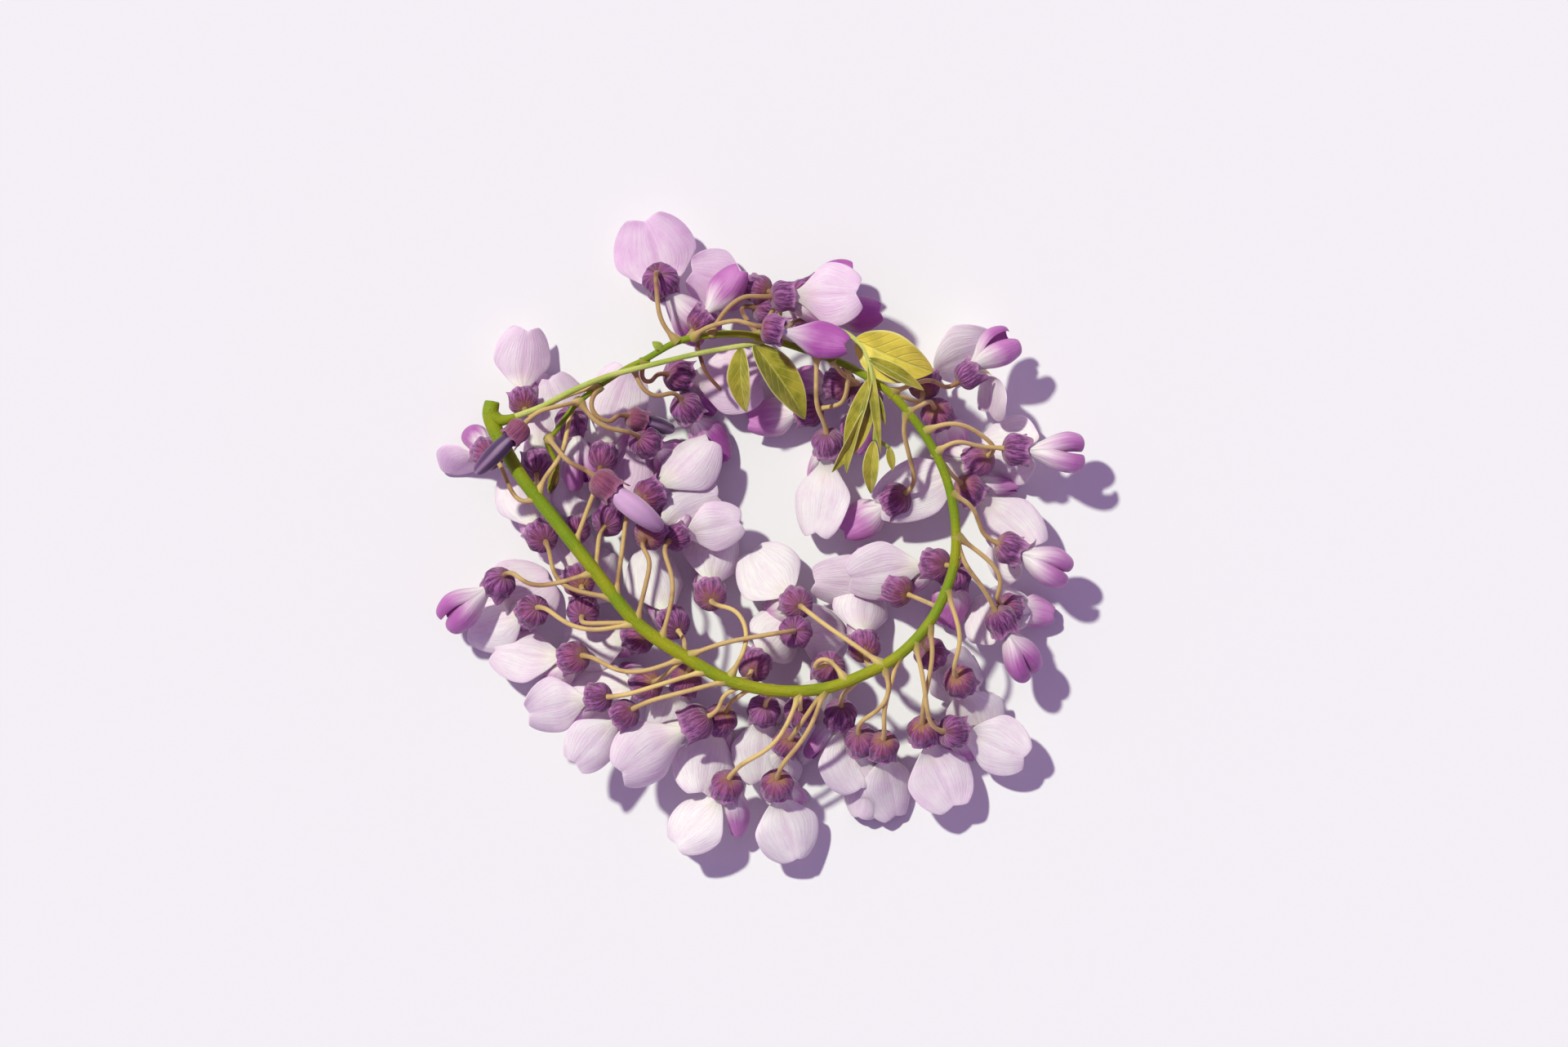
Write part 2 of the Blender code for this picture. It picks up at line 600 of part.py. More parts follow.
def pose_of(bloom, turned, tipped):
    """The turn and scale of a flower whose stalk end is at the origin."""
    heading, dip = math.radians(bloom.heading + turned), math.radians(bloom.dip + tipped)
    forward = Vector((math.cos(heading) * math.cos(dip), math.sin(heading) * math.cos(dip), -math.sin(dip)))
    left = Vector((0, 0, 1)).cross(forward).normalized()
    upward = forward.cross(left)
    turn = Matrix((forward, left, upward)).transposed()
    return turn @ Matrix.Rotation(math.radians(bloom.roll), 3, "X") * bloom.size


def grown(points, faces, distance):
    """The points of a closed mesh moved out along their normals."""
    normals = [Vector() for _ in points]
    for a, b, c in faces:
        normal = (points[b] - points[a]).cross(points[c] - points[a]).normalized()
        for corner in (a, b, c):
            normals[corner] += normal
    return [point + normal.normalized() * distance for point, normal in zip(points, normals)]


class Pile:
    """What has been laid so far, to lay the next piece clear of it."""

    def __init__(self):
        self.laid = []
        self.stubs = []

    def add_stub(self, points, faces):
        self.add(points, faces)
        self.stubs.append(self.laid[-1])

    def clear_stubs(self):
        self.laid = [piece for piece in self.laid if piece not in self.stubs]

    def add(self, points, faces):
        low = Vector([min(point[axis] for point in points) for axis in range(3)])
        high = Vector([max(point[axis] for point in points) for axis in range(3)])
        self.laid.append((low, high, BVHTree.FromPolygons(points, faces)))

    def meets(self, points, faces):
        low = Vector([min(point[axis] for point in points) for axis in range(3)])
        high = Vector([max(point[axis] for point in points) for axis in range(3)])
        tree = None
        for other_low, other_high, other in self.laid:
            if any(low[axis] > other_high[axis] or high[axis] < other_low[axis] for axis in range(3)):
                continue
            tree = tree or BVHTree.FromPolygons(points, faces)
            if tree.overlap(other):
                return True
        return False


def smooth_path(knots, steps):
    """Points on a smooth curve through the knots."""
    knots = [2 * knots[0] - knots[1], *knots, 2 * knots[-1] - knots[-2]]
    path = []
    for a, b, c, d in zip(knots, knots[1:], knots[2:], knots[3:]):
        for step in range(steps):
            t = step / steps
            square = (2 * a - 5 * b + 4 * c - d) * t**2
            cube = (3 * b - 3 * c + d - a) * t**3
            path.append((2 * b + (c - a) * t + square + cube) / 2)
    path.append(knots[-2].copy())
    return path


def tube_rings(path, radii, sides):
    """Rings of points round a path, turned as little as it allows."""
    rings = []
    tangent = (path[1] - path[0]).normalized()
    side = tangent.orthogonal().normalized()
    for number, point in enumerate(path):
        ahead = path[min(number + 1, len(path) - 1)]
        behind = path[max(number - 1, 0)]
        tangent = (ahead - behind).normalized()
        side = (side - tangent * side.dot(tangent)).normalized()
        other = tangent.cross(side)
        ring = []
        for corner in range(sides):
            turn = math.tau * corner / sides
            ring.append(point + (side * math.cos(turn) + other * math.sin(turn)) * radii[number])
        rings.append(ring)
    return rings


def as_triangles(points, faces):
    """The same mesh with each face split into a fan."""
    triangles = []
    for face in faces:
        for second, third in zip(face[1:], face[2:]):
            triangles.append((face[0], second, third))
    return points, triangles


def rachis_path():
    """The flower stem's middle line and its radius at each point."""
    knots = [at(px, py, height) for px, py, height, radius in RACHIS]
    path = smooth_path(knots, RACHIS_STEPS)
    radii = smooth_path([Vector((radius, 0)) for px, py, height, radius in RACHIS], RACHIS_STEPS)
    return path, [radius.x for radius in radii]


def evenly(path, count):
    """The same path as count stretches of one length."""
    lengths = [0.0]
    for before, after in zip(path, path[1:]):
        lengths.append(lengths[-1] + (after - before).length)
    points, here = [], 0
    for number in range(count + 1):
        wanted = lengths[-1] * number / count
        while here < len(path) - 2 and lengths[here + 1] < wanted:
            here += 1
        share = (wanted - lengths[here]) / (lengths[here + 1] - lengths[here])
        points.append(path[here].lerp(path[here + 1], min(share, 1.0)))
    return points


def stalk_path(via, joint, forward, root, arch, sway):
    """A flower stalk's middle line from the stem to the flower, arched and swayed as asked."""
    end = joint - forward * STALK_GAP
    approach = joint - forward * STALK_APPROACH
    stops = [at(px, py) for px, py in reversed(via)] or [(root + approach) / 2]
    plan = [Vector((point.x, point.y)) for point in (root, *stops, approach)]
    lengths = [(after - before).length for before, after in zip(plan, plan[1:])]
    across = (plan[-1] - plan[0]).orthogonal().normalized()
    gone, knots = 0.0, [root]
    for stop, length in zip(stops, lengths):
        gone += length
        share = gone / sum(lengths)
        hump = math.sin(math.pi * share)
        height = root.z + (approach.z - root.z) * share + arch * hump
        aside = across * (sway * hump)
        knots.append(Vector((stop.x + aside.x, stop.y + aside.y, height)))
    path = smooth_path([*knots, approach, end], 6)
    return evenly(path, STALK_STEPS)


def stalk_of(bloom, joint, forward, rachis, pile):
    """The stalk that clears every flower with the least arch and sway, as a closed tube."""
    there = at(*bloom.root)
    root = min(rachis, key=lambda point: (point.xy - there.xy).length)
    for via in dict.fromkeys((bloom.via, ())):
        for sway, arch in itertools.product(STALK_SWAYS, STALK_ARCHES):
            path = stalk_path(via, joint, forward, root, arch, sway)
            wide = closed_tube(tube_rings(path, [STALK_RADIUS + CLEARANCE] * len(path), 6))
            if not pile.meets(*as_triangles(*wide)):
                return closed_tube(tube_rings(path, [STALK_RADIUS] * len(path), STALK_SIDES))
    raise ValueError(f"the stalk of {bloom.name} has no clear way")


def stub_of(joint, forward):
    """The room that a stalk needs behind its flower."""
    path = [joint - forward * (CLEARANCE + 0.1), joint - forward * STALK_APPROACH]
    return as_triangles(*closed_tube(tube_rings(path, [STALK_RADIUS + CLEARANCE] * 2, 6)))


def joined(meshes):
    """Several meshes as one list of points and faces."""
    points, faces = [], []
    for more_points, more_faces in meshes:
        faces += [tuple(len(points) + corner for corner in face) for face in more_faces]
        points += more_points
    return points, faces


def stem_extras():
    """The young buds at the stem's tip, its scale and its bare stalk, as closed shapes."""
    start, end = (at(*place) for place in TIP_BUDS)
    steps = [0.0, 0.3, 0.7, 1.0]
    swell = [0.4, 1.0, 0.8, 0.2]
    middle = [start.lerp(end, step) for step in steps]
    buds = closed_tube(tube_rings(middle, [TIP_BUDS_RADIUS * full for full in swell], 5))
    leaflet = Leaflet(*SCALE, SCALE_HALF_WIDTH, 20, 0, 0.3)
    scale = closed_blade(lambda u, v: leaflet_point(leaflet, u, v), 2, 2, PETAL_THICKNESS)
    path = smooth_path([at(*place) for place in BARE_STALK], 2)
    bare = closed_tube(tube_rings(path, [STALK_RADIUS] * len(path), STALK_SIDES))
    return [buds, scale, bare]


def leaf_stalk(stops, steps, sides):
    """A tube through the stops of a leaf's stalk."""
    path = smooth_path([at(px, py, height) for px, py, height, radius in stops], steps)
    radii = smooth_path([Vector((radius, 0)) for px, py, height, radius in stops], steps)
    return closed_tube(tube_rings(path, [radius.x for radius in radii], sides))


def leaf_pieces():
    """The leaf's stalks and leaflets as closed shapes that run into each other."""
    pieces = [leaf_stalk(LEAF_STALK, 1, 4), leaf_stalk(SIDE_STALK, 1, 3)]
    for leaflet in LEAFLETS:
        rows = 3 if leaflet.half_width > 3 else 2

        def surface(u, v, leaflet=leaflet):
            return leaflet_point(leaflet, u, v)

        pieces.append(closed_blade(surface, rows, 2, PETAL_THICKNESS))
    return pieces


def tries():
    """Each lift, turn and tip that a flower may take, the least change first."""
    found = [(lift, turned, tipped) for lift in LIFTS for turned in TURNS for tipped in TIPS]
    return sorted(found, key=lambda t: t[0] + DEGREE_COST * (abs(t[1]) + abs(t[2])))


def posed(blooms, shapes, turned, tipped):
    """The pieces of some flowers turned and tipped, with the stalk end and heading of each."""
    flowers, ends = [], []
    for bloom, own in zip(blooms, shapes):
        turn = pose_of(bloom, turned, tipped)
        rotated = [([turn @ point for point in points], faces) for points, faces in own]
        lowest = min(point.z for points, faces in rotated for point in points)
        place = at(*bloom.joint, bloom.rise - lowest)
        flowers.append([([point + place for point in points], faces) for points, faces in rotated])
        ends.append((bloom, place, turn.col[0].normalized()))
    return flowers, ends


def linked(flowers):
    """Whether each flower crosses one that is linked to the first."""
    trees = [BVHTree.FromPolygons(*joined(flower)) for flower in flowers]
    reached, waiting = trees[:1], trees[1:]
    while True:
        found = [tree for tree in waiting if any(tree.overlap(other) for other in reached)]
        if not found:
            return not waiting
        reached += found
        waiting = [tree for tree in waiting if tree not in found]


def lay_flowers(name, pile, order):
    """The flowers of one name, laid with the least change, and where their stalks end."""
    numbers = [number for number, bloom in enumerate(BLOOMS) if bloom.name == name]
    blooms = [BLOOMS[number] for number in numbers]
    shapes = [flower_pieces(BLOOMS[number], number) for number in numbers]
    start = blooms[0].over
    ready = {}
    for lift, turned, tipped in order:
        if (turned, tipped) not in ready:
            flowers, ends = posed(blooms, shapes, turned, tipped)
            pieces = [piece for flower in flowers for piece in flower]
            wide = [as_triangles(*piece) for piece in pieces]
            wide = [(grown(points, faces, CLEARANCE), faces) for points, faces in wide]
            stubs = [stub_of(place, forward) for bloom, place, forward in ends]
            crossed = BVHTree.FromPolygons(*joined(wide)).overlap(BVHTree.FromPolygons(*joined(stubs)))
            blocked = bool(crossed) or not linked(flowers)
            ready[turned, tipped] = (pieces, ends, joined(wide + stubs), blocked)
        pieces, ends, (points, faces), blocked = ready[turned, tipped]
        rise = Vector((0, 0, start + lift))
        if not blocked and not pile.meets([point + rise for point in points], faces):
            break
    else:
        raise ValueError(f"{name} has no clear place")
    points, faces = fuse(name, [([point + rise for point in points], faces) for points, faces in pieces])
    pile.add(points, faces)
    ends = [(bloom, place + rise, forward) for bloom, place, forward in ends]
    for bloom, place, forward in ends:
        pile.add_stub(*stub_of(place, forward))
    return points, faces, ends


def finish_of(name, finishes):
    """The finish of a flower node, by where it grows."""
    if name in ("bloom_left_13", "bloom_left_14"):
        return finishes["bud"]
    return finishes["lilac"] if name.startswith("bloom_top") else finishes["bloom"]


def main():
    for obj in list(bpy.data.objects):
        bpy.data.objects.remove(obj)
    finishes = {name: material_of(name, colour) for name, colour in COLOURS.items()}
    path, radii = rachis_path()
    rachis = closed_tube(tube_rings(path, radii, RACHIS_SIDES))
    extras = stem_extras()
    pile = Pile()
    for piece in [rachis, *extras]:
        pile.add(*as_triangles(*piece))
    stem_count = len(pile.laid)
    leaf = fuse("leaf", leaf_pieces())
    pile.add(*leaf)
    piece = object_of("leaf", *leaf, MM)
    piece.data.materials.append(finishes["leaf"])
    ends = []
    order = tries()
    for name in dict.fromkeys(bloom.name for bloom in BLOOMS):
        points, faces, flower_ends = lay_flowers(name, pile, order)
        ends += flower_ends
        piece = object_of(name, points, faces, MM)
        piece.data.materials.append(finish_of(name, finishes))
    pile.clear_stubs()
    del pile.laid[:stem_count]
    stalks = [stalk_of(bloom, joint, forward, path, pile) for bloom, joint, forward in ends]
    stem = object_of("stem", *fuse("stem", [rachis, *extras, *stalks]), MM)
    stem.data.materials.append(finishes["stem"])


main()
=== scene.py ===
"""A wisteria wreath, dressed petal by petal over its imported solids.

Each flower node is replaced by finer flowers of the same form that lie as the node's own solid does, and
the stem and the leaf follow in the same way. Lengths are in millimetres while a piece is being shaped,
and its finished mesh is in metres. A place read off the photograph is given in its pixels.
"""

import itertools
import logging
import math
import random
from dataclasses import dataclass, replace
from enum import Enum
from functools import partial
from typing import Callable, Iterable, Sequence

import bpy
from mathutils import Matrix, Vector
from mathutils.bvhtree import BVHTree


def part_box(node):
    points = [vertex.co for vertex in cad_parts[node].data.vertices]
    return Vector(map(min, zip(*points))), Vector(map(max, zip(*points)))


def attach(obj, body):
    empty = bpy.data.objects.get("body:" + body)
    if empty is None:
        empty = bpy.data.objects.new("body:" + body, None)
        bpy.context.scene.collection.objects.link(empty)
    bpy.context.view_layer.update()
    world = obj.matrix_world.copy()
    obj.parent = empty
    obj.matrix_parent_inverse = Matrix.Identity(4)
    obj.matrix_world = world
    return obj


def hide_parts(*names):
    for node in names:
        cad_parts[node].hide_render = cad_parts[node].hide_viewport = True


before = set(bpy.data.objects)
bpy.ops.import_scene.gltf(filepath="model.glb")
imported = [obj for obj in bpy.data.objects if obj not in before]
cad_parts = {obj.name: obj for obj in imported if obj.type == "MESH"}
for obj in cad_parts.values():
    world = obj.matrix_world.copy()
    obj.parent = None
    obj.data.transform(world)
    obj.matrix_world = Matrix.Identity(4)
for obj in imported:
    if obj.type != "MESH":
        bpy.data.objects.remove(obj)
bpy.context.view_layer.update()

LOG = logging.getLogger("wreath")
Piece = bpy.types.Object
Material = bpy.types.Material
Socket = bpy.types.NodeSocket
Surface = Callable[[float, float], Vector]
Triple = tuple[float, float, float]
Colour = Triple
Stop = tuple[float, ...]

MM = 0.001
BODY = "root"

# The lowest that a finished piece lies over the ground, in millimetres.
GROUND_GAP = 0.02
# The turn below which a stretch is straight, how near two points are one, how far apart two places of a
# surface are for its normal, and the angle up to which shading is smooth.
STRAIGHT = 1e-9
DOUBLES = 1e-4
NEARBY = 1e-3
CREASE = math.radians(60)

# What seeds the draws of a flower's tints, a stalk and a leaflet, with its number added.
TINT_SEED = 1000
STALK_SEED = 2000
LEAFLET_SEED = 3000

# The photograph's scale and its middle, and where the wreath's own middle lies from there.
PIXEL = 0.2
MIDDLE_PX = (960, 641)
CENTRE = (-6.06, -4.1)


def at(px: float, py: float, height: float = 0.0) -> Vector:
    """Finds the place over a pixel of the photograph.

    Args:
        px: The pixel's column.
        py: The pixel's row.
        height: The height over the ground, in millimetres.

    Returns:
        The place in millimetres.
    """
    x = (px - MIDDLE_PX[0]) * PIXEL - CENTRE[0]
    y = (MIDDLE_PX[1] - py) * PIXEL - CENTRE[1]
    return Vector((x, y, height))


def ease(value: float, start: float, end: float) -> float:
    """Rises smoothly from nought at start to one at end."""
    t = min(max((value - start) / (end - start), 0.0), 1.0)
    return t * t * (3 - 2 * t)


def follow(distance: float, bends: Iterable[tuple[float, float]]) -> tuple[float, float, float]:
    """Walks along a strip that turns evenly through each bend in turn.

    Args:
        distance: How far to walk.
        bends: The length and the turn in radians of each bend.

    Returns:
        The x, the z and the angle that the strip has there.
    """
    x = z = angle = 0.0
    for length, turn in bends:
        run = min(distance, length)
        swing = turn * run / length
        if abs(swing) < STRAIGHT:
            x += run * math.cos(angle)
            z += run * math.sin(angle)
        else:
            radius = length / turn
            x += radius * (math.sin(angle + swing) - math.sin(angle))
            z += radius * (math.cos(angle) - math.cos(angle + swing))
        angle += swing
        distance -= run
        if distance <= 0:
            break
    return x, z, angle


def smooth_path(knots: Sequence[Vector], steps: int) -> list[Vector]:
    """Draws a smooth curve through some knots.

    Args:
        knots: The knots, in order.
        steps: The number of points from each knot to the next.

    Returns:
        The curve's points, the last knot among them.
    """
    knots = [2 * knots[0] - knots[1], *knots, 2 * knots[-1] - knots[-2]]
    path = []
    for a, b, c, d in zip(knots, knots[1:], knots[2:], knots[3:]):
        for step in range(steps):
            t = step / steps
            square = (2 * a - 5 * b + 4 * c - d) * t**2
            cube = (3 * b - 3 * c + d - a) * t**3
            path.append((2 * b + (c - a) * t + square + cube) / 2)
    path.append(knots[-2].copy())
    return path


def evenly(path: Sequence[Vector], count: int) -> list[Vector]:
    """Divides a path into stretches of one length.

    Args:
        path: The path's points.
        count: The number of stretches.

    Returns:
        The count + 1 points that divide it.
    """
    lengths = [0.0]
    for before, after in zip(path, path[1:]):
        lengths.append(lengths[-1] + (after - before).length)
    points, here = [], 0
    for number in range(count + 1):
        wanted = lengths[-1] * number / count
        while here < len(path) - 2 and lengths[here + 1] < wanted:
            here += 1
        share = (wanted - lengths[here]) / (lengths[here + 1] - lengths[here])
        points.append(path[here].lerp(path[here + 1], min(share, 1.0)))
    return points


class Stage(Enum):
    """How far a flower has opened."""

    OPEN = "open"
    HALF = "half"
    BUD = "bud"


OPEN, HALF, BUD = Stage


@dataclass(frozen=True)
class Look:
    """How lilac, purple and notched the petals of one part of the ring are, and how brown its stalks."""

    lilac: float
    purple: float
    notch: float
    browning: float


class Region(Enum):
    """The part of the ring that a flower grows in."""

    TOP = Look(0.56, 0.70, 0.55, 0.55)
    LEFT = Look(0.26, 0.75, 0.50, 0.30)
    LOW = Look(0.10, 0.35, 0.40, 0.0)
    RIGHT = Look(0.16, 0.45, 0.50, 0.05)


@dataclass(frozen=True)
class Bloom:
    """One flower of the wreath as the photograph shows it, with places in pixels and angles in degrees.

    Attributes:
        place: The part of the ring and the number that its node is named by. Flowers of one place lie in
            each other.
        joint: Where its stalk joins it.
        heading: The way that its mouth points, from the photograph's right to its top.
        dip: How far its mouth is turned down.
        stage: How far it has opened.
        root: Where its stalk leaves the stem.
        via: What its stalk passes over, from the flower to the stem.
        reflex: How far its banner bends back.
        size: Its size, as a share of a full flower's.
        rise: How far it lies above the lowest flower of its place, in millimetres.
        roll: How far it is rolled about its own line.
        aside: How far its petals alone are rolled, or nought for a roll that is drawn.
        yaw: How far its wings alone are swung, or nought for a swing that is drawn.
        petals: How long its petals are, as a share of the usual length.
        tint_and_shade: How much more lilac and purple than its neighbours it is, part of it painted shade.
    """

    place: str
    joint: tuple[float, float]
    heading: float
    dip: float
    stage: Stage
    root: tuple[float, float]
    via: tuple[tuple[float, float], ...] = ()
    reflex: float = 45.0
    size: float = 1.0
    rise: float = 0.0
    roll: float = 0.0
    aside: float = 0.0
    yaw: float = 0.0
    petals: float = 1.0
    tint_and_shade: float = 0.0

    @property
    def node(self) -> str:
        """The name of its CAD node."""
        return f"bloom_{self.place}"

    @property
    def region(self) -> Region:
        """The part of the ring that it grows in."""
        return Region[self.place.split("_")[0].upper()]


BLOOMS = (
    Bloom("top_1", (806, 337), -66, 65, OPEN, (832, 417), ((805, 355), (806, 380), (812, 400)), 112,
          1.12, yaw=-30, roll=-172),
    Bloom("top_2", (940, 356), 165, 35, OPEN, (925, 412), reflex=45, size=0.9),
    Bloom("top_2", (925, 376), -10, 25, HALF, (920, 412), ((912, 388),), size=0.85),
    Bloom("top_3", (849, 404), 52, 20, HALF, (853, 412), size=0.9),
    Bloom("top_4", (994, 390), 6, 12, HALF, (960, 420), size=0.95, petals=0.84),
    Bloom("top_4", (974, 366), 26, 14, HALF, (944, 417), petals=0.72),
    Bloom("top_9", (945, 364), -5, 10, OPEN, (878, 411), ((920, 360), (900, 370), (885, 385)), 28, 0.95),
    Bloom("top_5", (933, 402), -12, 5, HALF, (855, 413), ((910, 392), (865, 402)), size=0.95,
          petals=1.08, tint_and_shade=0.15),
    Bloom("top_6", (818, 458), -5, 38, OPEN, (790, 442), ((800, 468), (785, 465)), 48),
    Bloom("top_7", (834, 490), -55, 45, HALF, (775, 448), ((805, 487), (785, 475)), tint_and_shade=0.5),
    Bloom("top_8", (782, 535), -12, 35, HALF, (722, 484), ((745, 525), (728, 515)), tint_and_shade=0.4),
    Bloom("top_8", (769, 510), 5, 15, BUD, (733, 474), ((750, 520), (730, 510), (721, 495)), size=0.9,
          rise=7),
    Bloom("left_1", (700, 506), -95, 48, OPEN, (653, 602), ((694, 530), (690, 560), (665, 585)), 125,
          roll=180),
    Bloom("left_2", (642, 500), 105, 50, OPEN, (742, 470), ((668, 498), (700, 482)), 55, 0.88, aside=26),
    Bloom("left_3", (657, 580), 72, 45, HALF, (668, 618), petals=1.2),
    Bloom("left_18", (603, 560), 150, 62, HALF, (668, 620), ((635, 615),), aside=-100, petals=0.85,
          tint_and_shade=0.45),
    Bloom("left_1", (735, 572), 85, 48, OPEN, (700, 660), reflex=55, petals=1.15),
    Bloom("left_8", (740, 645), 60, 55, HALF, (742, 712), petals=1.2, tint_and_shade=0.3),
    Bloom("left_5", (784, 612), 42, 38, HALF, (768, 745)),
    Bloom("left_5", (790, 660), 60, 55, HALF, (770, 748), ((798, 680), (795, 700))),
    Bloom("left_6", (668, 663), 130, 60, HALF, (757, 734), ((674, 690), (690, 718))),
    Bloom("left_5", (820, 662), 40, 52, OPEN, (813, 785), ((826, 715),), 55, 0.85),
    Bloom("left_16", (706, 655), 100, 65, HALF, (730, 700), size=0.85),
    Bloom("left_11", (712, 718), 120, 55, HALF, (752, 728)),
    Bloom("left_9", (617, 705), 235, 45, OPEN, (720, 690), ((640, 714), (670, 717)), 95, roll=180),
    Bloom("left_10", (658, 744), 200, 62, HALF, (775, 755), ((680, 755), (705, 768), (730, 772))),
    Bloom("left_11", (713, 755), 85, 60, HALF, (768, 748)),
    Bloom("left_17", (790, 778), 200, 55, HALF, (845, 808)),
    Bloom("left_12", (712, 803), 187, 50, OPEN, (832, 799), ((740, 815), (765, 823), (790, 822)), 55),
    Bloom("left_13", (728, 583), -38, 5, BUD, (676, 534), ((705, 572), (690, 558)), size=1.25),
    Bloom("left_14", (645, 519), 225, 0, BUD, (700, 499)),
    Bloom("low_1", (800, 835), 205, 55, OPEN, (850, 810), reflex=58),
    Bloom("low_2", (842, 825), 250, 60, HALF, (860, 815)),
    Bloom("low_19", (867, 877), 206, 20, HALF, (960, 844), ((880, 855), (900, 843), (930, 835)), 35,
          1.15),
    Bloom("low_3", (744, 853), 210, 38, OPEN, (870, 822), reflex=45, size=0.9),
    Bloom("low_3", (775, 868), 240, 38, OPEN, (885, 828), reflex=45, size=0.9, rise=1),
    Bloom("low_4", (888, 872), 240, 45, OPEN, (908, 838), reflex=55),
    Bloom("low_18", (893, 953), 238, 50, OPEN, (977, 845), ((940, 918), (960, 895)), 58, aside=34),
    Bloom("low_5", (937, 864), 255, 55, OPEN, (945, 844), reflex=58),
    Bloom("low_5", (968, 905), 238, 50, HALF, (1000, 843), size=0.9),
    Bloom("low_6", (980, 868), 280, 60, HALF, (985, 844)),
    Bloom("low_7", (1030, 865), 245, 48, OPEN, (1050, 828), reflex=55),
    Bloom("low_17", (952, 953), 268, 50, OPEN, (1012, 841), ((990, 895),), 58, aside=-24),
    Bloom("low_7", (1052, 898), 262, 50, HALF, (1085, 812), ((1075, 870), (1090, 845))),
    Bloom("low_7", (1082, 905), 242, 55, HALF, (1093, 806), ((1082, 870),)),
    Bloom("low_9", (1130, 886), 262, 50, OPEN, (1138, 761), ((1142, 800),), 55),
    Bloom("low_9", (1156, 896), -15, 48, OPEN, (1122, 782), ((1135, 870), (1130, 830)), 55, aside=28),
    Bloom("low_11", (1135, 795), -70, 60, HALF, (1136, 766)),
    Bloom("low_11", (1171, 828), 285, 55, HALF, (1160, 716), ((1176, 780),)),
    Bloom("low_12", (1060, 802), 100, 50, HALF, (1075, 818)),
    Bloom("low_20", (1018, 812), 240, 60, HALF, (1040, 831), ((993, 825), (1000, 805), (1015, 803))),
    Bloom("low_13", (980, 742), 118, 48, OPEN, (1085, 811), ((1010, 765), (1040, 785)), 52),
    Bloom("low_13", (972, 773), -50, 62, HALF, (843, 806), ((920, 780), (880, 788))),
    Bloom("low_14", (871, 736), 100, 60, HALF, (906, 835),
          ((890, 738), (905, 748), (915, 768), (915, 790))),
    Bloom("low_15", (830, 772), 125, 50, HALF, (825, 795)),
    Bloom("low_16", (920, 822), 60, 55, HALF, (900, 836)),
    Bloom("right_1", (1130, 480), 80, 48, OPEN, (1098, 488), reflex=52, aside=78, petals=1.1),
    Bloom("right_13", (1174, 467), 35, 10, OPEN, (1094, 484), ((1140, 464),), 85, 0.9, roll=130),
    Bloom("right_2", (1144, 500), -60, 60, HALF, (1108, 500)),
    Bloom("right_3", (1229, 549), -5, 15, OPEN, (1138, 545), ((1200, 548), (1170, 540)), 88,
          petals=1.14, roll=180),
    Bloom("right_4", (1210, 558), 205, 42, OPEN, (1126, 522), ((1190, 525), (1160, 517)), 48, petals=1.3),
    Bloom("right_4", (1178, 592), -40, 42, OPEN, (1150, 565), reflex=48, petals=1.15),
    Bloom("right_5", (1222, 665), -25, 25, OPEN, (1162, 600), ((1190, 620),), 85, roll=180),
    Bloom("right_6", (1219, 748), -62, 28, OPEN, (1169, 655), ((1200, 715), (1180, 690)), 85, roll=180),
    Bloom("right_6", (1228, 742), -10, 50, HALF, (1172, 662), ((1228, 715), (1215, 690)), size=0.85),
    Bloom("right_7", (1112, 728), 172, 35, OPEN, (1152, 738), reflex=42, aside=-32, petals=1.08),
    Bloom("right_7", (1158, 692), 190, 42, OPEN, (1168, 690), reflex=50, rise=3, aside=-22, petals=1.08),
    Bloom("right_7", (1172, 694), -85, 50, HALF, (1172, 670)),
    Bloom("right_9", (1108, 604), 212, 35, HALF, (1112, 508), ((1104, 520),), tint_and_shade=0.2),
    Bloom("right_10", (1040, 470), 180, 45, HALF, (1020, 442), ((1030, 458),)),
    Bloom("right_14", (1012, 530), -82, 40, OPEN, (1000, 434), ((1000, 500),), 45, aside=26, petals=1.1),
    Bloom("right_11", (1063, 478), 250, 50, HALF, (1060, 462)),
    Bloom("right_12", (1004, 500), 190, 8, HALF, (1043, 452), ((1025, 497), (1035, 488))),
)


@dataclass(frozen=True)
class Habit:
    """How one flower's petals stand, in radians, millimetres and shares."""

    reflex: float
    curl: float
    hood: float
    banner_width: float
    wave: float
    phase: float
    splay: float
    lean: float

    @classmethod
    def of(cls, bloom: Bloom, number: int, shape: "FlowerShape") -> "Habit":
        """Draws the habit that belongs to a flower.

        Args:
            bloom: The flower.
            number: Its place in the list of flowers, which seeds the draws.
            shape: The sizes of a flower.

        Returns:
            The flower's habit.
        """
        draw = random.Random(number)
        if bloom.stage is HALF:
            return cls(
                reflex=math.radians(18 + draw.uniform(-4, 10)),
                curl=math.radians(draw.uniform(-15, 5)),
                hood=math.radians(150),
                banner_width=shape.half_open_banner,
                wave=0.05,
                phase=draw.uniform(0, math.tau),
                splay=math.radians(10 + draw.uniform(0, 5)),
                lean=0.1,
            )
        return cls(
            reflex=math.radians(bloom.reflex + draw.uniform(-5, 5)),
            curl=math.radians(draw.uniform(-25, 15)),
            hood=math.radians(draw.uniform(35, 75)),
            banner_width=shape.banner_half_width * draw.uniform(0.9, 1.0),
            wave=draw.uniform(0.06, 0.12),
            phase=draw.uniform(0, math.tau),
            splay=math.radians(draw.uniform(14, 30)),
            lean=draw.uniform(0.1, 0.35),
        )


def add_node(
    tree: bpy.types.NodeTree, kind: str, settings: dict[str, object], inputs: dict[object, object]
) -> bpy.types.Node:
    """Adds a node to a material.

    Args:
        tree: The material's nodes.
        kind: The node's type.
        settings: Its own settings, set first.
        inputs: The value or link of each socket, by its name or number.

    Returns:
        The node.
    """
    node = tree.nodes.new(kind)
    for key, value in settings.items():
        setattr(node, key, value)
    for key, value in inputs.items():
        if isinstance(value, Signal):
            value = value.socket
        if isinstance(value, Socket):
            tree.links.new(value, node.inputs[key])
        else:
            node.inputs[key].default_value = value
    return node


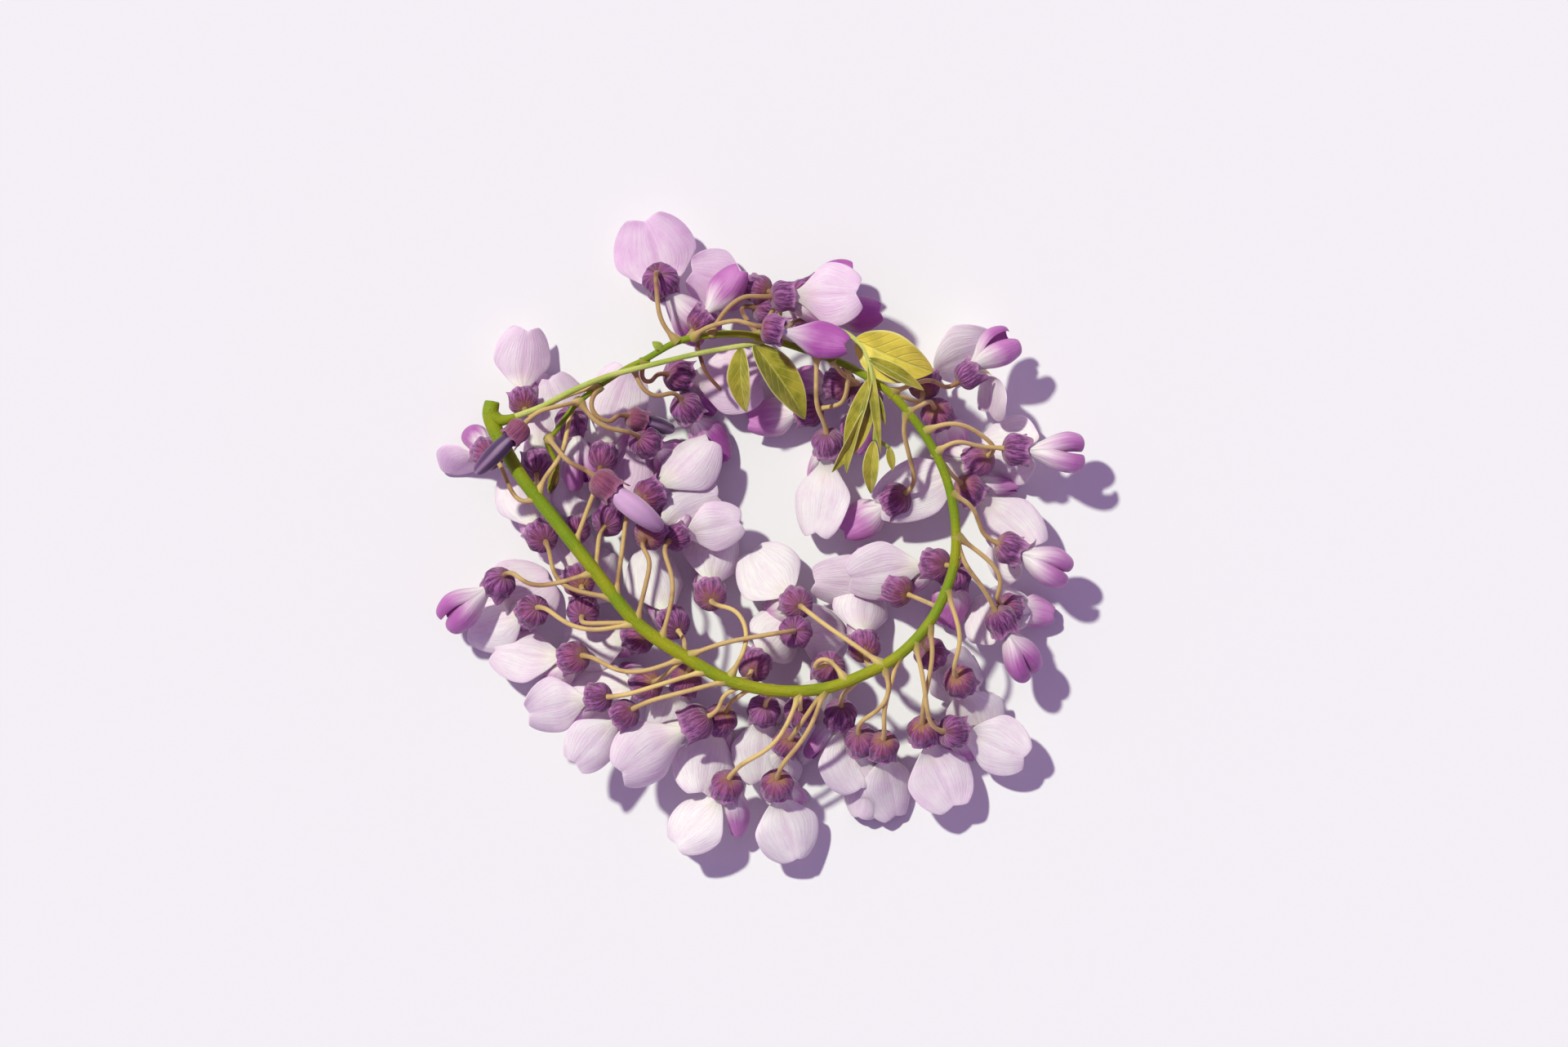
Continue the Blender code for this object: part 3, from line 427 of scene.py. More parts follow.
@dataclass(frozen=True)
class Signal:
    """A shader socket that can stand in a sum."""

    tree: bpy.types.NodeTree
    socket: Socket

    def _maths(self, operation: str, *terms: "Signal | float", clamp: bool = False) -> "Signal":
        """Adds a Math node.

        Args:
            operation: What it works out.
            terms: What it works on.
            clamp: Whether its result is kept to nought and one.

        Returns:
            Its output.
        """
        settings = {"operation": operation, "use_clamp": clamp}
        node = add_node(self.tree, "ShaderNodeMath", settings, dict(enumerate(terms)))
        return Signal(self.tree, node.outputs[0])

    def __add__(self, other: "Signal | float") -> "Signal":
        """Adds."""
        return self._maths("ADD", self, other)

    def __radd__(self, other: float) -> "Signal":
        """Adds from the left."""
        return self._maths("ADD", other, self)

    def __sub__(self, other: "Signal | float") -> "Signal":
        """Takes away."""
        return self._maths("SUBTRACT", self, other)

    def __rsub__(self, other: float) -> "Signal":
        """Is taken away from a number."""
        return self._maths("SUBTRACT", other, self)

    def __mul__(self, other: "Signal | float") -> "Signal":
        """Multiplies."""
        return self._maths("MULTIPLY", self, other)

    def __rmul__(self, other: float) -> "Signal":
        """Multiplies from the left."""
        return self._maths("MULTIPLY", other, self)

    def size(self) -> "Signal":
        """Drops the sign."""
        return self._maths("ABSOLUTE", self)

    def sine(self) -> "Signal":
        """Takes the sine."""
        return self._maths("SINE", self)

    def clamped(self) -> "Signal":
        """Keeps to nought and one."""
        return self._maths("ADD", self, 0.0, clamp=True)

    def rise(self, start: float, end: float) -> "Signal":
        """Rises smoothly from nought to one, or falls from one where end is the lower.

        Args:
            start: Where it is nought.
            end: Where it is one.

        Returns:
            How far the value has come from start to end.
        """
        (low, at_low), (high, at_high) = sorted(((start, 0.0), (end, 1.0)))
        inputs = {"Value": self, "From Min": low, "From Max": high, "To Min": at_low, "To Max": at_high}
        node = add_node(self.tree, "ShaderNodeMapRange", {"interpolation_type": "SMOOTHSTEP"}, inputs)
        return Signal(self.tree, node.outputs["Result"])


def linear(colour: Colour) -> tuple[float, float, float, float]:
    """Turns a colour as seen on a screen into the shader's light values.

    Args:
        colour: Red, green and blue from nought to one, as a screen shows them.

    Returns:
        The same colour in linear light, with its alpha.
    """
    channels = [c / 12.92 if c <= 0.04045 else ((c + 0.055) / 1.055) ** 2.4 for c in colour]
    return (*channels, 1.0)


class Recipe:
    """A material and the nodes that make it, with the colour that is painted so far."""

    LIGHT_COLOUR = (1.0, 0.75, 1.0)
    LIGHT_REACH = 0.0012
    SHEEN_ROUGHNESS = 0.4
    GLOSS = 0.35
    NOISE_ROUGHNESS = 0.55

    def __init__(
        self, name: str, colour: Colour, roughness: float, subsurface: float = 0.0, sheen: float = 0.0
    ) -> None:
        """Starts a material on one Principled shader.

        Args:
            name: The material's name.
            colour: Its first colour, as a screen shows it.
            roughness: Its roughness.
            subsurface: How much light goes through it.
            sheen: How downy it looks.
        """
        self.material = bpy.data.materials.new(name)
        self.material.use_nodes = True
        self.tree = self.material.node_tree
        self.colour: Colour | Socket = colour
        self.shader = self.tree.nodes["Principled BSDF"]
        values = {
            "Base Color": linear(colour),
            "Roughness": roughness,
            "Subsurface Weight": subsurface,
            "Subsurface Radius": self.LIGHT_COLOUR,
            "Subsurface Scale": self.LIGHT_REACH,
            "Sheen Weight": sheen,
            "Sheen Roughness": self.SHEEN_ROUGHNESS,
            "Specular IOR Level": self.GLOSS,
        }
        for key, value in values.items():
            self.shader.inputs[key].default_value = value

    def node(self, kind: str, settings: dict[str, object], inputs: dict[object, object]) -> bpy.types.Node:
        """Adds a node with its settings and its sockets' values or links."""
        return add_node(self.tree, kind, settings, inputs)

    def attribute(self, name: str) -> tuple[Signal, Signal, Signal]:
        """Reads the three values that each point of the piece carries under a name.

        Args:
            name: The values' name.

        Returns:
            The three values.
        """
        source = self.node("ShaderNodeAttribute", {"attribute_name": name}, {})
        parts = self.node("ShaderNodeSeparateXYZ", {}, {"Vector": source.outputs["Vector"]})
        return tuple(Signal(self.tree, output) for output in parts.outputs)

    def noise(self, scale: float, detail: float = 2.0, *run: Signal | float) -> Signal:
        """Adds soft noise from nought to one.

        Args:
            scale: How fine it is.
            detail: How many finer layers it has.
            run: The three values that it follows, or none for the place on the object, in metres.

        Returns:
            The noise.
        """
        if run:
            place = self.node("ShaderNodeCombineXYZ", {}, dict(zip("XYZ", run))).outputs["Vector"]
        else:
            place = self.node("ShaderNodeTexCoord", {}, {}).outputs["Object"]
        inputs = {"Vector": place, "Scale": scale, "Detail": detail, "Roughness": self.NOISE_ROUGHNESS}
        return Signal(self.tree, self.node("ShaderNodeTexNoise", {}, inputs).outputs["Fac"])

    def blend(self, factor: Signal | float, first: Colour | Socket, second: Colour | Socket) -> Socket:
        """Mixes two colours.

        Args:
            factor: How much of the second there is.
            first: A socket, or a colour as a screen shows it.
            second: The same.

        Returns:
            The mixed colour's socket.
        """
        colours = [c if isinstance(c, Socket) else linear(c) for c in (first, second)]
        node = self.node("ShaderNodeMix", {"data_type": "RGBA"}, {0: factor, 6: colours[0], 7: colours[1]})
        return node.outputs[2]

    def paint(self, factor: Signal | float, colour: Colour | Socket) -> None:
        """Paints a colour over what is there, as thickly as the factor says."""
        self.colour = self.blend(factor, self.colour, colour)

    def finish(self, bump: Signal, depth: float) -> Material:
        """Gives the shader its painted colour and its small relief.

        Args:
            bump: The relief, from nought to one.
            depth: How high the relief stands, in millimetres.

        Returns:
            The finished material.
        """
        relief = self.node("ShaderNodeBump", {}, {"Height": bump, "Distance": depth * MM, "Strength": 1.0})
        self.tree.links.new(self.colour, self.shader.inputs["Base Color"])
        self.tree.links.new(relief.outputs["Normal"], self.shader.inputs["Normal"])
        return self.material


# In a finish, grain is how fine its clouds or patches are, per metre, fineness how close its veins, ribs or
# streaks stand, and relief how high its bump stands, in millimetres.


@dataclass(frozen=True)
class BannerFinish:
    """The large petal: pale and pinkish, lilac at its rim, veined, a yellow spot on its face, painted shade
    in its crease.
    """

    pale: Colour = (0.945, 0.905, 0.925)
    lilac: Colour = (0.870, 0.660, 0.850)
    rim: Colour = (0.890, 0.740, 0.880)
    vein: Colour = (0.740, 0.520, 0.730)
    spot: Colour = (0.940, 0.800, 0.380)
    claw: Colour = (0.920, 0.910, 0.810)
    grain: float = 190.0
    vein_fineness: float = 3.4
    vein_strength: float = 0.22
    relief: float = 0.22

    def material(self) -> Material:
        """Makes the material.

        Returns:
            The finished material.
        """
        recipe = Recipe("banner_petal", self.pale, roughness=0.5, subsurface=0.35, sheen=0.12)
        across, along, face = recipe.attribute("flow")
        lilac, _, seed = recipe.attribute("draw")
        clouds = recipe.noise(self.grain, 3.0)
        recipe.paint((lilac + (clouds - 0.5) * 0.9 + along * 0.12 - 0.06).clamped(), self.lilac)
        recipe.paint(across.size().rise(0.75, 1.0) * 0.30 + along.rise(0.85, 1.0) * 0.20, self.rim)
        fan = across * (along * 5.0 + 4.0) + seed * 30.0
        veins = recipe.noise(self.vein_fineness, 4.0, fan, along * 0.7, seed)
        recipe.paint(veins.rise(0.50, 0.58) * veins.rise(0.66, 0.58) * self.vein_strength, self.vein)
        # Painted shade: the midline crease, where the groove folds, is darkened with the vein colour.
        crease = across.size().rise(0.12, 0.02) * along.rise(0.25, 0.45) * along.rise(1.0, 0.8)
        recipe.paint(crease * (lilac * 0.3 + 0.08), self.vein)
        recipe.paint(along.rise(0.40, 0.12) * 0.7, self.claw)
        spot = along.rise(0.20, 0.30) * along.rise(0.50, 0.36) * across.size().rise(0.62, 0.15)
        recipe.paint(spot * (face * 0.85 + 0.08), self.spot)
        return recipe.finish(veins * 0.75 + clouds * 0.25, self.relief)


@dataclass(frozen=True)
class WingFinish:
    """A wing or a keel: white at its claw and orchid to violet at its tip."""

    name: str
    base: Colour
    tip: Colour
    pale_tip: Colour
    deep: Colour
    grain: float = 240.0
    streak_fineness: float = 2.2
    vein_fineness: float = 3.0
    vein_strength: float = 0.25
    relief: float = 0.18

    def material(self) -> Material:
        """Makes the material.

        Returns:
            The finished material.
        """
        recipe = Recipe(self.name, self.base, roughness=0.45, subsurface=0.3, sheen=0.12)
        across, along, _ = recipe.attribute("flow")
        _, purple, seed = recipe.attribute("draw")
        clouds = recipe.noise(self.grain, 3.0)
        tip = recipe.blend((purple + (clouds - 0.5) * 0.7).clamped(), self.pale_tip, self.tip)
        streak = recipe.noise(self.streak_fineness, 2.0, across * 2.2 + seed * 12.0, along * 0.5, seed)
        recipe.paint((along + (streak - 0.5) * 0.5 + purple * 0.22 - 0.08).rise(0.20, 0.72), tip)
        edge = (across.rise(0.35, 1.0) * 0.6 + across.rise(-0.7, -1.0) * 0.4) * along.rise(0.35, 0.85)
        recipe.paint(edge * 0.7, self.deep)
        veins = recipe.noise(self.vein_fineness, 3.0, across * 5.0 + seed * 20.0, along * 0.9, seed)
        recipe.paint(veins.rise(0.54, 0.70) * self.vein_strength, self.deep)
        return recipe.finish(veins, self.relief)


@dataclass(frozen=True)
class CupFinish:
    """The cup: purple with painted highlight on its ribs, a frilled pale lip and, on some, a golden base."""

    dark: Colour = (0.335, 0.115, 0.325)
    rib: Colour = (0.690, 0.400, 0.660)
    lip: Colour = (0.850, 0.640, 0.800)
    base: Colour = (0.740, 0.540, 0.270)
    blush: Colour = (0.540, 0.240, 0.280)
    ruddy: Colour = (0.560, 0.280, 0.360)
    rib_fineness: float = 2.1
    crimp_fineness: float = 2.0
    patch_fineness: float = 1.3
    relief: float = 0.75

    def material(self) -> Material:
        """Makes the material.

        Returns:
            The finished material.
        """
        recipe = Recipe("cup", self.dark, roughness=0.62, subsurface=0.08, sheen=0.3)
        cosine, sine, along = recipe.attribute("flow")
        _, purple, seed = recipe.attribute("draw")
        ribs = recipe.noise(self.rib_fineness, 5.0, cosine * 2.9 + seed * 9.0, sine * 2.9, along * 0.9)
        crimp = recipe.noise(self.crimp_fineness, 3.0, cosine * 5.0, sine * 5.0 + seed * 5.0, along * 3.4)
        # Painted highlight and shade: the ribs and crimps are painted lighter where they stand up in the
        # bump, and stay dark purple in the folds between.
        light = ribs.rise(0.42, 0.62) * 0.75 + crimp.rise(0.35, 0.7) * 0.45 - 0.1
        recipe.paint(light.clamped(), self.rib)
        pale = (0.75 - purple).clamped() * 0.15 + along.rise(0.55, 0.85) * 0.5
        recipe.paint(pale.clamped(), self.lip)
        patches = recipe.noise(self.patch_fineness, 3.0, cosine * 1.2 + seed * 40.0, sine * 1.2, along * 2.0)
        mottle = (along + (patches - 0.5) * 0.6).rise(0.45, 0.08)
        recipe.paint(mottle * (cosine * 0.6 + seed * 1.6 - 0.5).clamped() * 0.45, self.blush)
        recipe.paint((seed - 1.0).clamped() * 0.8, self.ruddy)
        golden = seed.rise(0.35, 0.95) * seed.rise(1.4, 1.0) * 0.6 + 0.15
        reach = (along + (crimp - 0.5) * 0.18 + (ribs - 0.5) * 0.26).rise(0.06, -0.01)
        recipe.paint(reach * golden, self.base)
        return recipe.finish(ribs * 0.65 + crimp * 0.35, self.relief)


@dataclass(frozen=True)
class BudFinish:
    """The closed petals of a bud, dark violet or pink-white, with a paler seam."""

    body: Colour = (0.290, 0.180, 0.340)
    pale_body: Colour = (0.880, 0.700, 0.860)
    tip: Colour = (0.520, 0.260, 0.540)
    seam: Colour = (0.760, 0.640, 0.760)
    grain: float = 420.0
    relief: float = 0.1

    def material(self) -> Material:
        """Makes the material.

        Returns:
            The finished material.
        """
        recipe = Recipe("bud_petal", self.body, roughness=0.5, subsurface=0.1, sheen=0.3)
        cosine, _, along = recipe.attribute("flow")
        pale, _, _ = recipe.attribute("draw")
        recipe.paint(pale, self.pale_body)
        recipe.paint(along.rise(0.35, 1.0) * 0.8 * (pale * 0.6 + 0.4), self.tip)
        recipe.paint(cosine.rise(0.90, 0.99) * 0.5, self.seam)
        return recipe.finish(recipe.noise(self.grain, 3.0), self.relief)


@dataclass(frozen=True)
class StalkFinish:
    """A flower stalk: tan-yellow, pinker and browner in places, and green where it leaves the stem."""

    tan: Colour = (0.870, 0.750, 0.480)
    brown: Colour = (0.530, 0.350, 0.250)
    root: Colour = (0.640, 0.620, 0.260)
    grain: float = 130.0
    fine_grain: float = 1800.0
    relief: float = 0.08

    def material(self) -> Material:
        """Makes the material.

        Returns:
            The finished material.
        """
        recipe = Recipe("flower_stalk", self.tan, roughness=0.6, subsurface=0.05, sheen=0.3)
        _, _, along = recipe.attribute("flow")
        brown, _, _ = recipe.attribute("draw")
        patches, fine = recipe.noise(self.grain), recipe.noise(self.fine_grain)
        tone = patches.rise(0.52, 0.70) * 0.45 + brown + (fine - 0.5) * 0.25 + along.rise(0.75, 1.0) * 0.3
        recipe.paint(tone.clamped(), self.brown)
        recipe.paint(along.rise(0.12, 0.0) * 0.8, self.root)
        return recipe.finish(fine, self.relief)


@dataclass(frozen=True)
class StemFinish:
    """The flower stem or the leaf's stalk: green to yellow-green, streaked along its length."""

    name: str
    green: Colour
    yellow: Colour
    dark: Colour
    grain: float = 60.0
    fine_grain: float = 1500.0
    streak_fineness: float = 2.4
    relief: float = 0.35

    def material(self) -> Material:
        """Makes the material.

        Returns:
            The finished material.
        """
        recipe = Recipe(self.name, self.green, roughness=0.6, subsurface=0.06, sheen=0.06)
        cosine, sine, along = recipe.attribute("flow")
        streaks = recipe.noise(self.streak_fineness, 3.0, cosine * 3.0, sine * 3.0, along * 26.0)
        recipe.paint(recipe.noise(self.grain).rise(0.36, 0.64), self.yellow)
        recipe.paint(streaks.rise(0.52, 0.72) * 0.45, self.dark)
        return recipe.finish(streaks * 0.5 + recipe.noise(self.fine_grain) * 0.5, self.relief)


@dataclass(frozen=True)
class LeafletFinish:
    """A young leaflet: yellow-green, paler veins, and a pale rim: partly silky hairs, partly painted sheen.
    """

    green: Colour = (0.470, 0.480, 0.060)
    yellow: Colour = (0.900, 0.820, 0.310)
    vein: Colour = (0.840, 0.820, 0.400)
    rim: Colour = (0.860, 0.850, 0.560)
    grain: float = 200.0
    vein_strength: float = 0.5
    relief: float = 0.15

    def material(self) -> Material:
        """Makes the material.

        Returns:
            The finished material.
        """
        recipe = Recipe("leaflet", self.green, roughness=0.42, subsurface=0.2, sheen=0.4)
        across, along, _ = recipe.attribute("flow")
        wide, _, seed = recipe.attribute("draw")
        off = across.size()
        tone = recipe.noise(self.grain, 3.0).rise(0.35, 0.65) * 0.35 + wide * 0.75 - 0.05
        recipe.paint(tone.clamped(), self.yellow)
        branches = ((along * 46.0 - off * 13.0 + seed * 5.0).sine() * 0.5 + 0.5).rise(0.90, 0.99)
        veins = (branches * 0.5 * off.rise(1.0, 0.7) + off.rise(0.10, 0.02)).clamped()
        recipe.paint(veins * self.vein_strength, self.vein)
        # Painted sheen: the pale rim is partly the silky hairs' own colour and partly the sheen that lights
        # them at the edge.
        recipe.paint(off.rise(0.88, 1.0) * 0.6, self.rim)
        return recipe.finish(1.0 - veins, self.relief)


@dataclass(frozen=True)
class YoungBudFinish:
    """The young buds at the stem's tip: olive-yellow to dark brown-green."""

    olive: Colour = (0.560, 0.500, 0.160)
    brown: Colour = (0.280, 0.230, 0.120)
    grain: float = 700.0
    relief: float = 0.2

    def material(self) -> Material:
        """Makes the material.

        Returns:
            The finished material.
        """
        recipe = Recipe("young_bud", self.olive, roughness=0.6, sheen=0.4)
        _, _, along = recipe.attribute("flow")
        fine = recipe.noise(self.grain)
        recipe.paint((along.rise(0.2, 0.9) * 0.7 + (fine - 0.5) * 0.8).clamped(), self.brown)
        return recipe.finish(fine, self.relief)


class Finishes:
    """Every material of the wreath, made once."""

    def __init__(self) -> None:
        """Makes them all."""
        self.banner = BannerFinish().material()
        self.wing = WingFinish(
            "wing_petal", (0.96, 0.91, 0.92), (0.67, 0.33, 0.65), (0.84, 0.58, 0.80), (0.58, 0.22, 0.54)
        ).material()
        self.keel = WingFinish(
            "keel_petal", (0.90, 0.80, 0.88), (0.52, 0.24, 0.54), (0.74, 0.50, 0.74), (0.38, 0.14, 0.42)
        ).material()
        self.cup = CupFinish().material()
        self.bud = BudFinish().material()
        self.stalk = StalkFinish().material()
        self.stem = StemFinish(
            "flower_stem", (0.48, 0.58, 0.01), (0.61, 0.62, 0.02), (0.28, 0.37, 0.01)
        ).material()
        self.leaf_stalk = StemFinish(
            "leaf_stalk", (0.66, 0.73, 0.28), (0.84, 0.85, 0.50), (0.50, 0.58, 0.16)
        ).material()
        self.young_bud = YoungBudFinish().material()
        self.leaflet = LeafletFinish().material()


def select(*pieces: Piece) -> None:
    """Selects some pieces and nothing else, and makes the first active.

    Args:
        pieces: The pieces, or none to deselect everything.
    """
    for piece in bpy.context.selected_objects:
        piece.select_set(False)
    for piece in pieces:
        piece.select_set(True)
        bpy.context.view_layer.objects.active = pieces[0]


def carry(piece: Piece, name: str, values: Sequence[Iterable[float]]) -> None:
    """Gives each point of a piece three values under a name.

    Args:
        piece: The piece.
        name: The values' name.
        values: Three numbers for each point.
    """
    layer = piece.data.attributes.new(name, "FLOAT_VECTOR", "POINT")
    layer.data.foreach_set("vector", [number for value in values for number in value])


@dataclass(frozen=True)
class Coat:
    """What a piece wears: a finish, and the three values that set its own tints in it."""

    material: Material
    draw: Triple = (0.0, 0.0, 0.0)

    def dress(self, piece: Piece, flow: Sequence[Triple]) -> None:
        """Puts the coat on a piece.

        Args:
            piece: The piece.
            flow: Where each of its points lies on its surface.
        """
        carry(piece, "flow", flow)
        carry(piece, "draw", [self.draw] * len(flow))
        piece.data.materials.append(self.material)


def grid(name: str, rows: int, columns: int) -> Piece:
    """Adds a flat grid from minus one to one both ways.

    Args:
        name: The piece's name.
        rows: The number of faces along x.
        columns: The number of faces along y.

    Returns:
        The piece.
    """
    select()
    bpy.ops.mesh.primitive_grid_add(x_subdivisions=rows, y_subdivisions=columns, size=2)
    piece = bpy.context.object
    piece.name = name
    return piece


def sheet(name: str, surface: Surface, rows: int, columns: int, coat: Coat) -> Piece:
    """Shapes a grid into a petal or a leaflet that has no thickness yet.

    Args:
        name: The piece's name.
        surface: Gives the place at u from base to tip and v from edge to edge.
        rows: The number of faces from base to tip.
        columns: The number of faces from edge to edge.
        coat: What it wears.

    Returns:
        The piece.
    """
    piece = grid(name, rows, columns)
    flow = [(vertex.co.y, (vertex.co.x + 1) / 2, 0.0) for vertex in piece.data.vertices]
    for vertex, (across, along, _) in zip(piece.data.vertices, flow):
        vertex.co = surface(along, across)
    coat.dress(piece, flow)
    return piece


def tube(name: str, surface: Surface, rows: int, columns: int, coat: Coat) -> Piece:
    """Rolls a grid up into a closed body.

    Args:
        name: The piece's name.
        surface: Gives the place at u of its length and at an angle round it, in radians.
        rows: The number of faces along it.
        columns: The number of faces round it.
        coat: What it wears.

    Returns:
        The piece.
    """
    piece = grid(name, rows, columns)
    flow = []
    for vertex in piece.data.vertices:
        along, angle = (vertex.co.x + 1) / 2, math.pi * (vertex.co.y + 1)
        vertex.co = surface(along, angle)
        flow.append((math.cos(angle), math.sin(angle), along))
    coat.dress(piece, flow)
    bpy.ops.object.mode_set(mode="EDIT")
    bpy.ops.mesh.select_all(action="SELECT")
    bpy.ops.mesh.remove_doubles(threshold=DOUBLES)
    bpy.ops.mesh.fill_holes(sides=0)
    bpy.ops.mesh.normals_make_consistent(inside=False)
    bpy.ops.object.mode_set(mode="OBJECT")
    return piece


def frames_along(path: Sequence[Vector]) -> list[tuple[Vector, Vector]]:
    """Finds two directions across each point of a path, turned as little as it allows.

    Args:
        path: The path's points.

    Returns:
        A side and another side at right angles to it, for each point.
    """
    found = []
    side = (path[1] - path[0]).normalized().orthogonal().normalized()
    for number in range(len(path)):
        ahead = path[min(number + 1, len(path) - 1)]
        behind = path[max(number - 1, 0)]
        tangent = (ahead - behind).normalized()
        side = (side - tangent * side.dot(tangent)).normalized()
        found.append((side, tangent.cross(side)))
    return found


def round_tube(name: str, path: Sequence[Vector], radii: Sequence[float], sides: int, coat: Coat) -> Piece:
    """Builds a tube along a path.

    Args:
        name: The piece's name.
        path: The path's points.
        radii: The radius at each.
        sides: The number of sides.
        coat: What it wears.

    Returns:
        The tube.
    """
    frames, last = frames_along(path), len(path) - 1

    def surface(u: float, angle: float) -> Vector:
        """Finds a place on the tube.

        Args:
            u: The place along its path.
            angle: The angle round it.

        Returns:
            The place.
        """
        number = round(u * last)
        side, other = frames[number]
        return path[number] + (side * math.cos(angle) + other * math.sin(angle)) * radii[number]

    return tube(name, surface, last, sides, coat)


def stem_tube(name: str, stops: Sequence[Stop], steps: int, sides: int, coat: Coat) -> Piece:
    """Builds a tube through some stops.

    Args:
        name: The piece's name.
        stops: The pixel, the height and the radius at each stop, in millimetres.
        steps: The number of rings from each stop to the next.
        sides: The number of sides.
        coat: What it wears.

    Returns:
        The tube.
    """
    path = smooth_path([at(*stop[:3]) for stop in stops], steps)
    radii = [radius.x for radius in smooth_path([Vector((stop[3], 0)) for stop in stops], steps)]
    return round_tube(name, path, radii, sides, coat)


def join(pieces: Sequence[Piece], name: str) -> Piece:
    """Joins some pieces into the first.

    Args:
        pieces: The pieces.
        name: The name of what they become.

    Returns:
        The joined piece.
    """
    select(*pieces)
    if len(pieces) > 1:
        bpy.ops.object.join()
    pieces[0].name = name
    return pieces[0]


def modify(piece: Piece, kind: str, **settings: object) -> None:
    """Adds a modifier and applies it.

    Args:
        piece: The piece.
        kind: The modifier's type.
        settings: Its settings.
    """
    select(piece)
    modifier = piece.modifiers.new(kind.title(), kind)
    for key, value in settings.items():
        setattr(modifier, key, value)
    bpy.ops.object.modifier_apply(modifier=modifier.name)


def thicken(piece: Piece, thickness: float) -> None:
    """Gives some sheets a thickness, and marks which points of petals lie on the lower side.

    Args:
        piece: The sheets, as one piece.
        thickness: The thickness.
    """
    before = len(piece.data.vertices)
    modify(piece, "SOLIDIFY", thickness=thickness, offset=0.0)
    values = [0.0] * (3 * len(piece.data.vertices))
    flow = piece.data.attributes["flow"].data
    flow.foreach_get("vector", values)
    materials = [material.name for material in piece.data.materials]
    blades = {number for number, name in enumerate(materials) if name != "cup"}
    for polygon in piece.data.polygons:
        if polygon.material_index in blades:
            for number in polygon.vertices:
                values[3 * number + 2] = 1.0 if number >= before else 0.0
    flow.foreach_set("vector", values)


def soften(piece: Piece) -> None:
    """Rounds a piece's faces off with one subdivision."""
    modify(piece, "SUBSURF", levels=1, render_levels=1)


def complete(piece: Piece, slot: str, *nodes: str) -> Piece:
    """Scales a piece to metres, smooths its shading and sets it on the wreath's body.

    Args:
        piece: The piece, in millimetres.
        slot: Not used.
        nodes: The CAD nodes that it stands for.

    Returns:
        The piece.
    """
    for vertex in piece.data.vertices:
        vertex.co.z = max(vertex.co.z, GROUND_GAP)
    piece.data.transform(Matrix.Scale(MM, 4))
    select(piece)
    bpy.ops.object.shade_smooth_by_angle(angle=CREASE)
    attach(piece, BODY)
    if nodes:
        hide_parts(*nodes)
    LOG.info("%s: %d faces", piece.name, len(piece.data.polygons))
    return piece


def solid_tree(node: str) -> BVHTree:
    """Makes a CAD node's solid searchable.

    Args:
        node: The node's name.

    Returns:
        Its faces, in millimetres.
    """
    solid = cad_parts[node].data
    points = [vertex.co / MM for vertex in solid.vertices]
    return BVHTree.FromPolygons(points, [tuple(polygon.vertices) for polygon in solid.polygons])


def petal_half_width(u: float, claw: float, open_from: float, open_to: float, round_from: float) -> float:
    """Draws a petal's outline.

    Args:
        u: The place from base to tip.
        claw: The claw's width, as a share of the blade's.
        open_from: Where the claw starts to widen.
        open_to: Where the blade has its full width.
        round_from: Where the round end starts.

    Returns:
        Half the width there, as a share of the blade's.
    """
    width = claw + (1 - claw) * ease(u, open_from, open_to)
    end = max(0.0, u - round_from) / (1.05 - round_from)
    return width * math.sqrt(1 - end * end)


def blade_corners(surface: Surface, rows: int, columns: int, thickness: float) -> list[Vector]:
    """Finds the corners that a petal's own solid has.

    Args:
        surface: The petal's middle surface.
        rows: The number of the solid's faces from base to tip.
        columns: The number from edge to edge.
        thickness: The solid's thickness.

    Returns:
        The corners on both faces.
    """
    corners = []
    for row in range(rows + 1):
        for column in range(columns + 1):
            u, v = row / rows, 2 * column / columns - 1
            along = surface(min(u + NEARBY, 1.0), v) - surface(max(u - NEARBY, 0.0), v)
            across = surface(u, min(v + NEARBY, 1.0)) - surface(u, max(v - NEARBY, -1.0))
            normal = along.cross(across).normalized() * (thickness / 2)
            corners += [surface(u, v) + normal, surface(u, v) - normal]
    return corners


@dataclass(frozen=True)
class Oval:
    """A long oval body along a bent middle line, as a keel, two clasped wings or a closed bud has."""

    length: float
    half_width: float
    half_height: float
    start: tuple[float, float]
    bends: tuple[tuple[float, float], ...]
    neck: float
    swell_to: float
    shrink_from: float
    shrink_over: float

    def point(self, u: float, angle: float) -> Vector:
        """Finds a point of the body.

        Args:
            u: The place along its length.
            angle: The angle round it from its upper side.

        Returns:
            The point.
        """
        x, z, lean = follow(self.length * u, self.bends)
        end = max(0.0, u - self.shrink_from) / self.shrink_over
        full = (self.neck + (1 - self.neck) * ease(u, 0.0, self.swell_to)) * math.sqrt(max(0.0, 1 - end**2))
        upward = Vector((-math.sin(lean), 0.0, math.cos(lean)))
        sideways = Vector((0.0, self.half_width * full * math.sin(angle), 0.0))
        middle = Vector((self.start[0] + x, 0.0, self.start[1] + z))
        return middle + sideways + upward * (self.half_height * full * math.cos(angle))

    def corners(self, stops: Sequence[float], sides: int) -> list[Vector]:
        """Finds the corners that the body's own solid has at some stops of its length."""
        return [self.point(u, math.tau * side / sides) for u in stops for side in range(sides)]


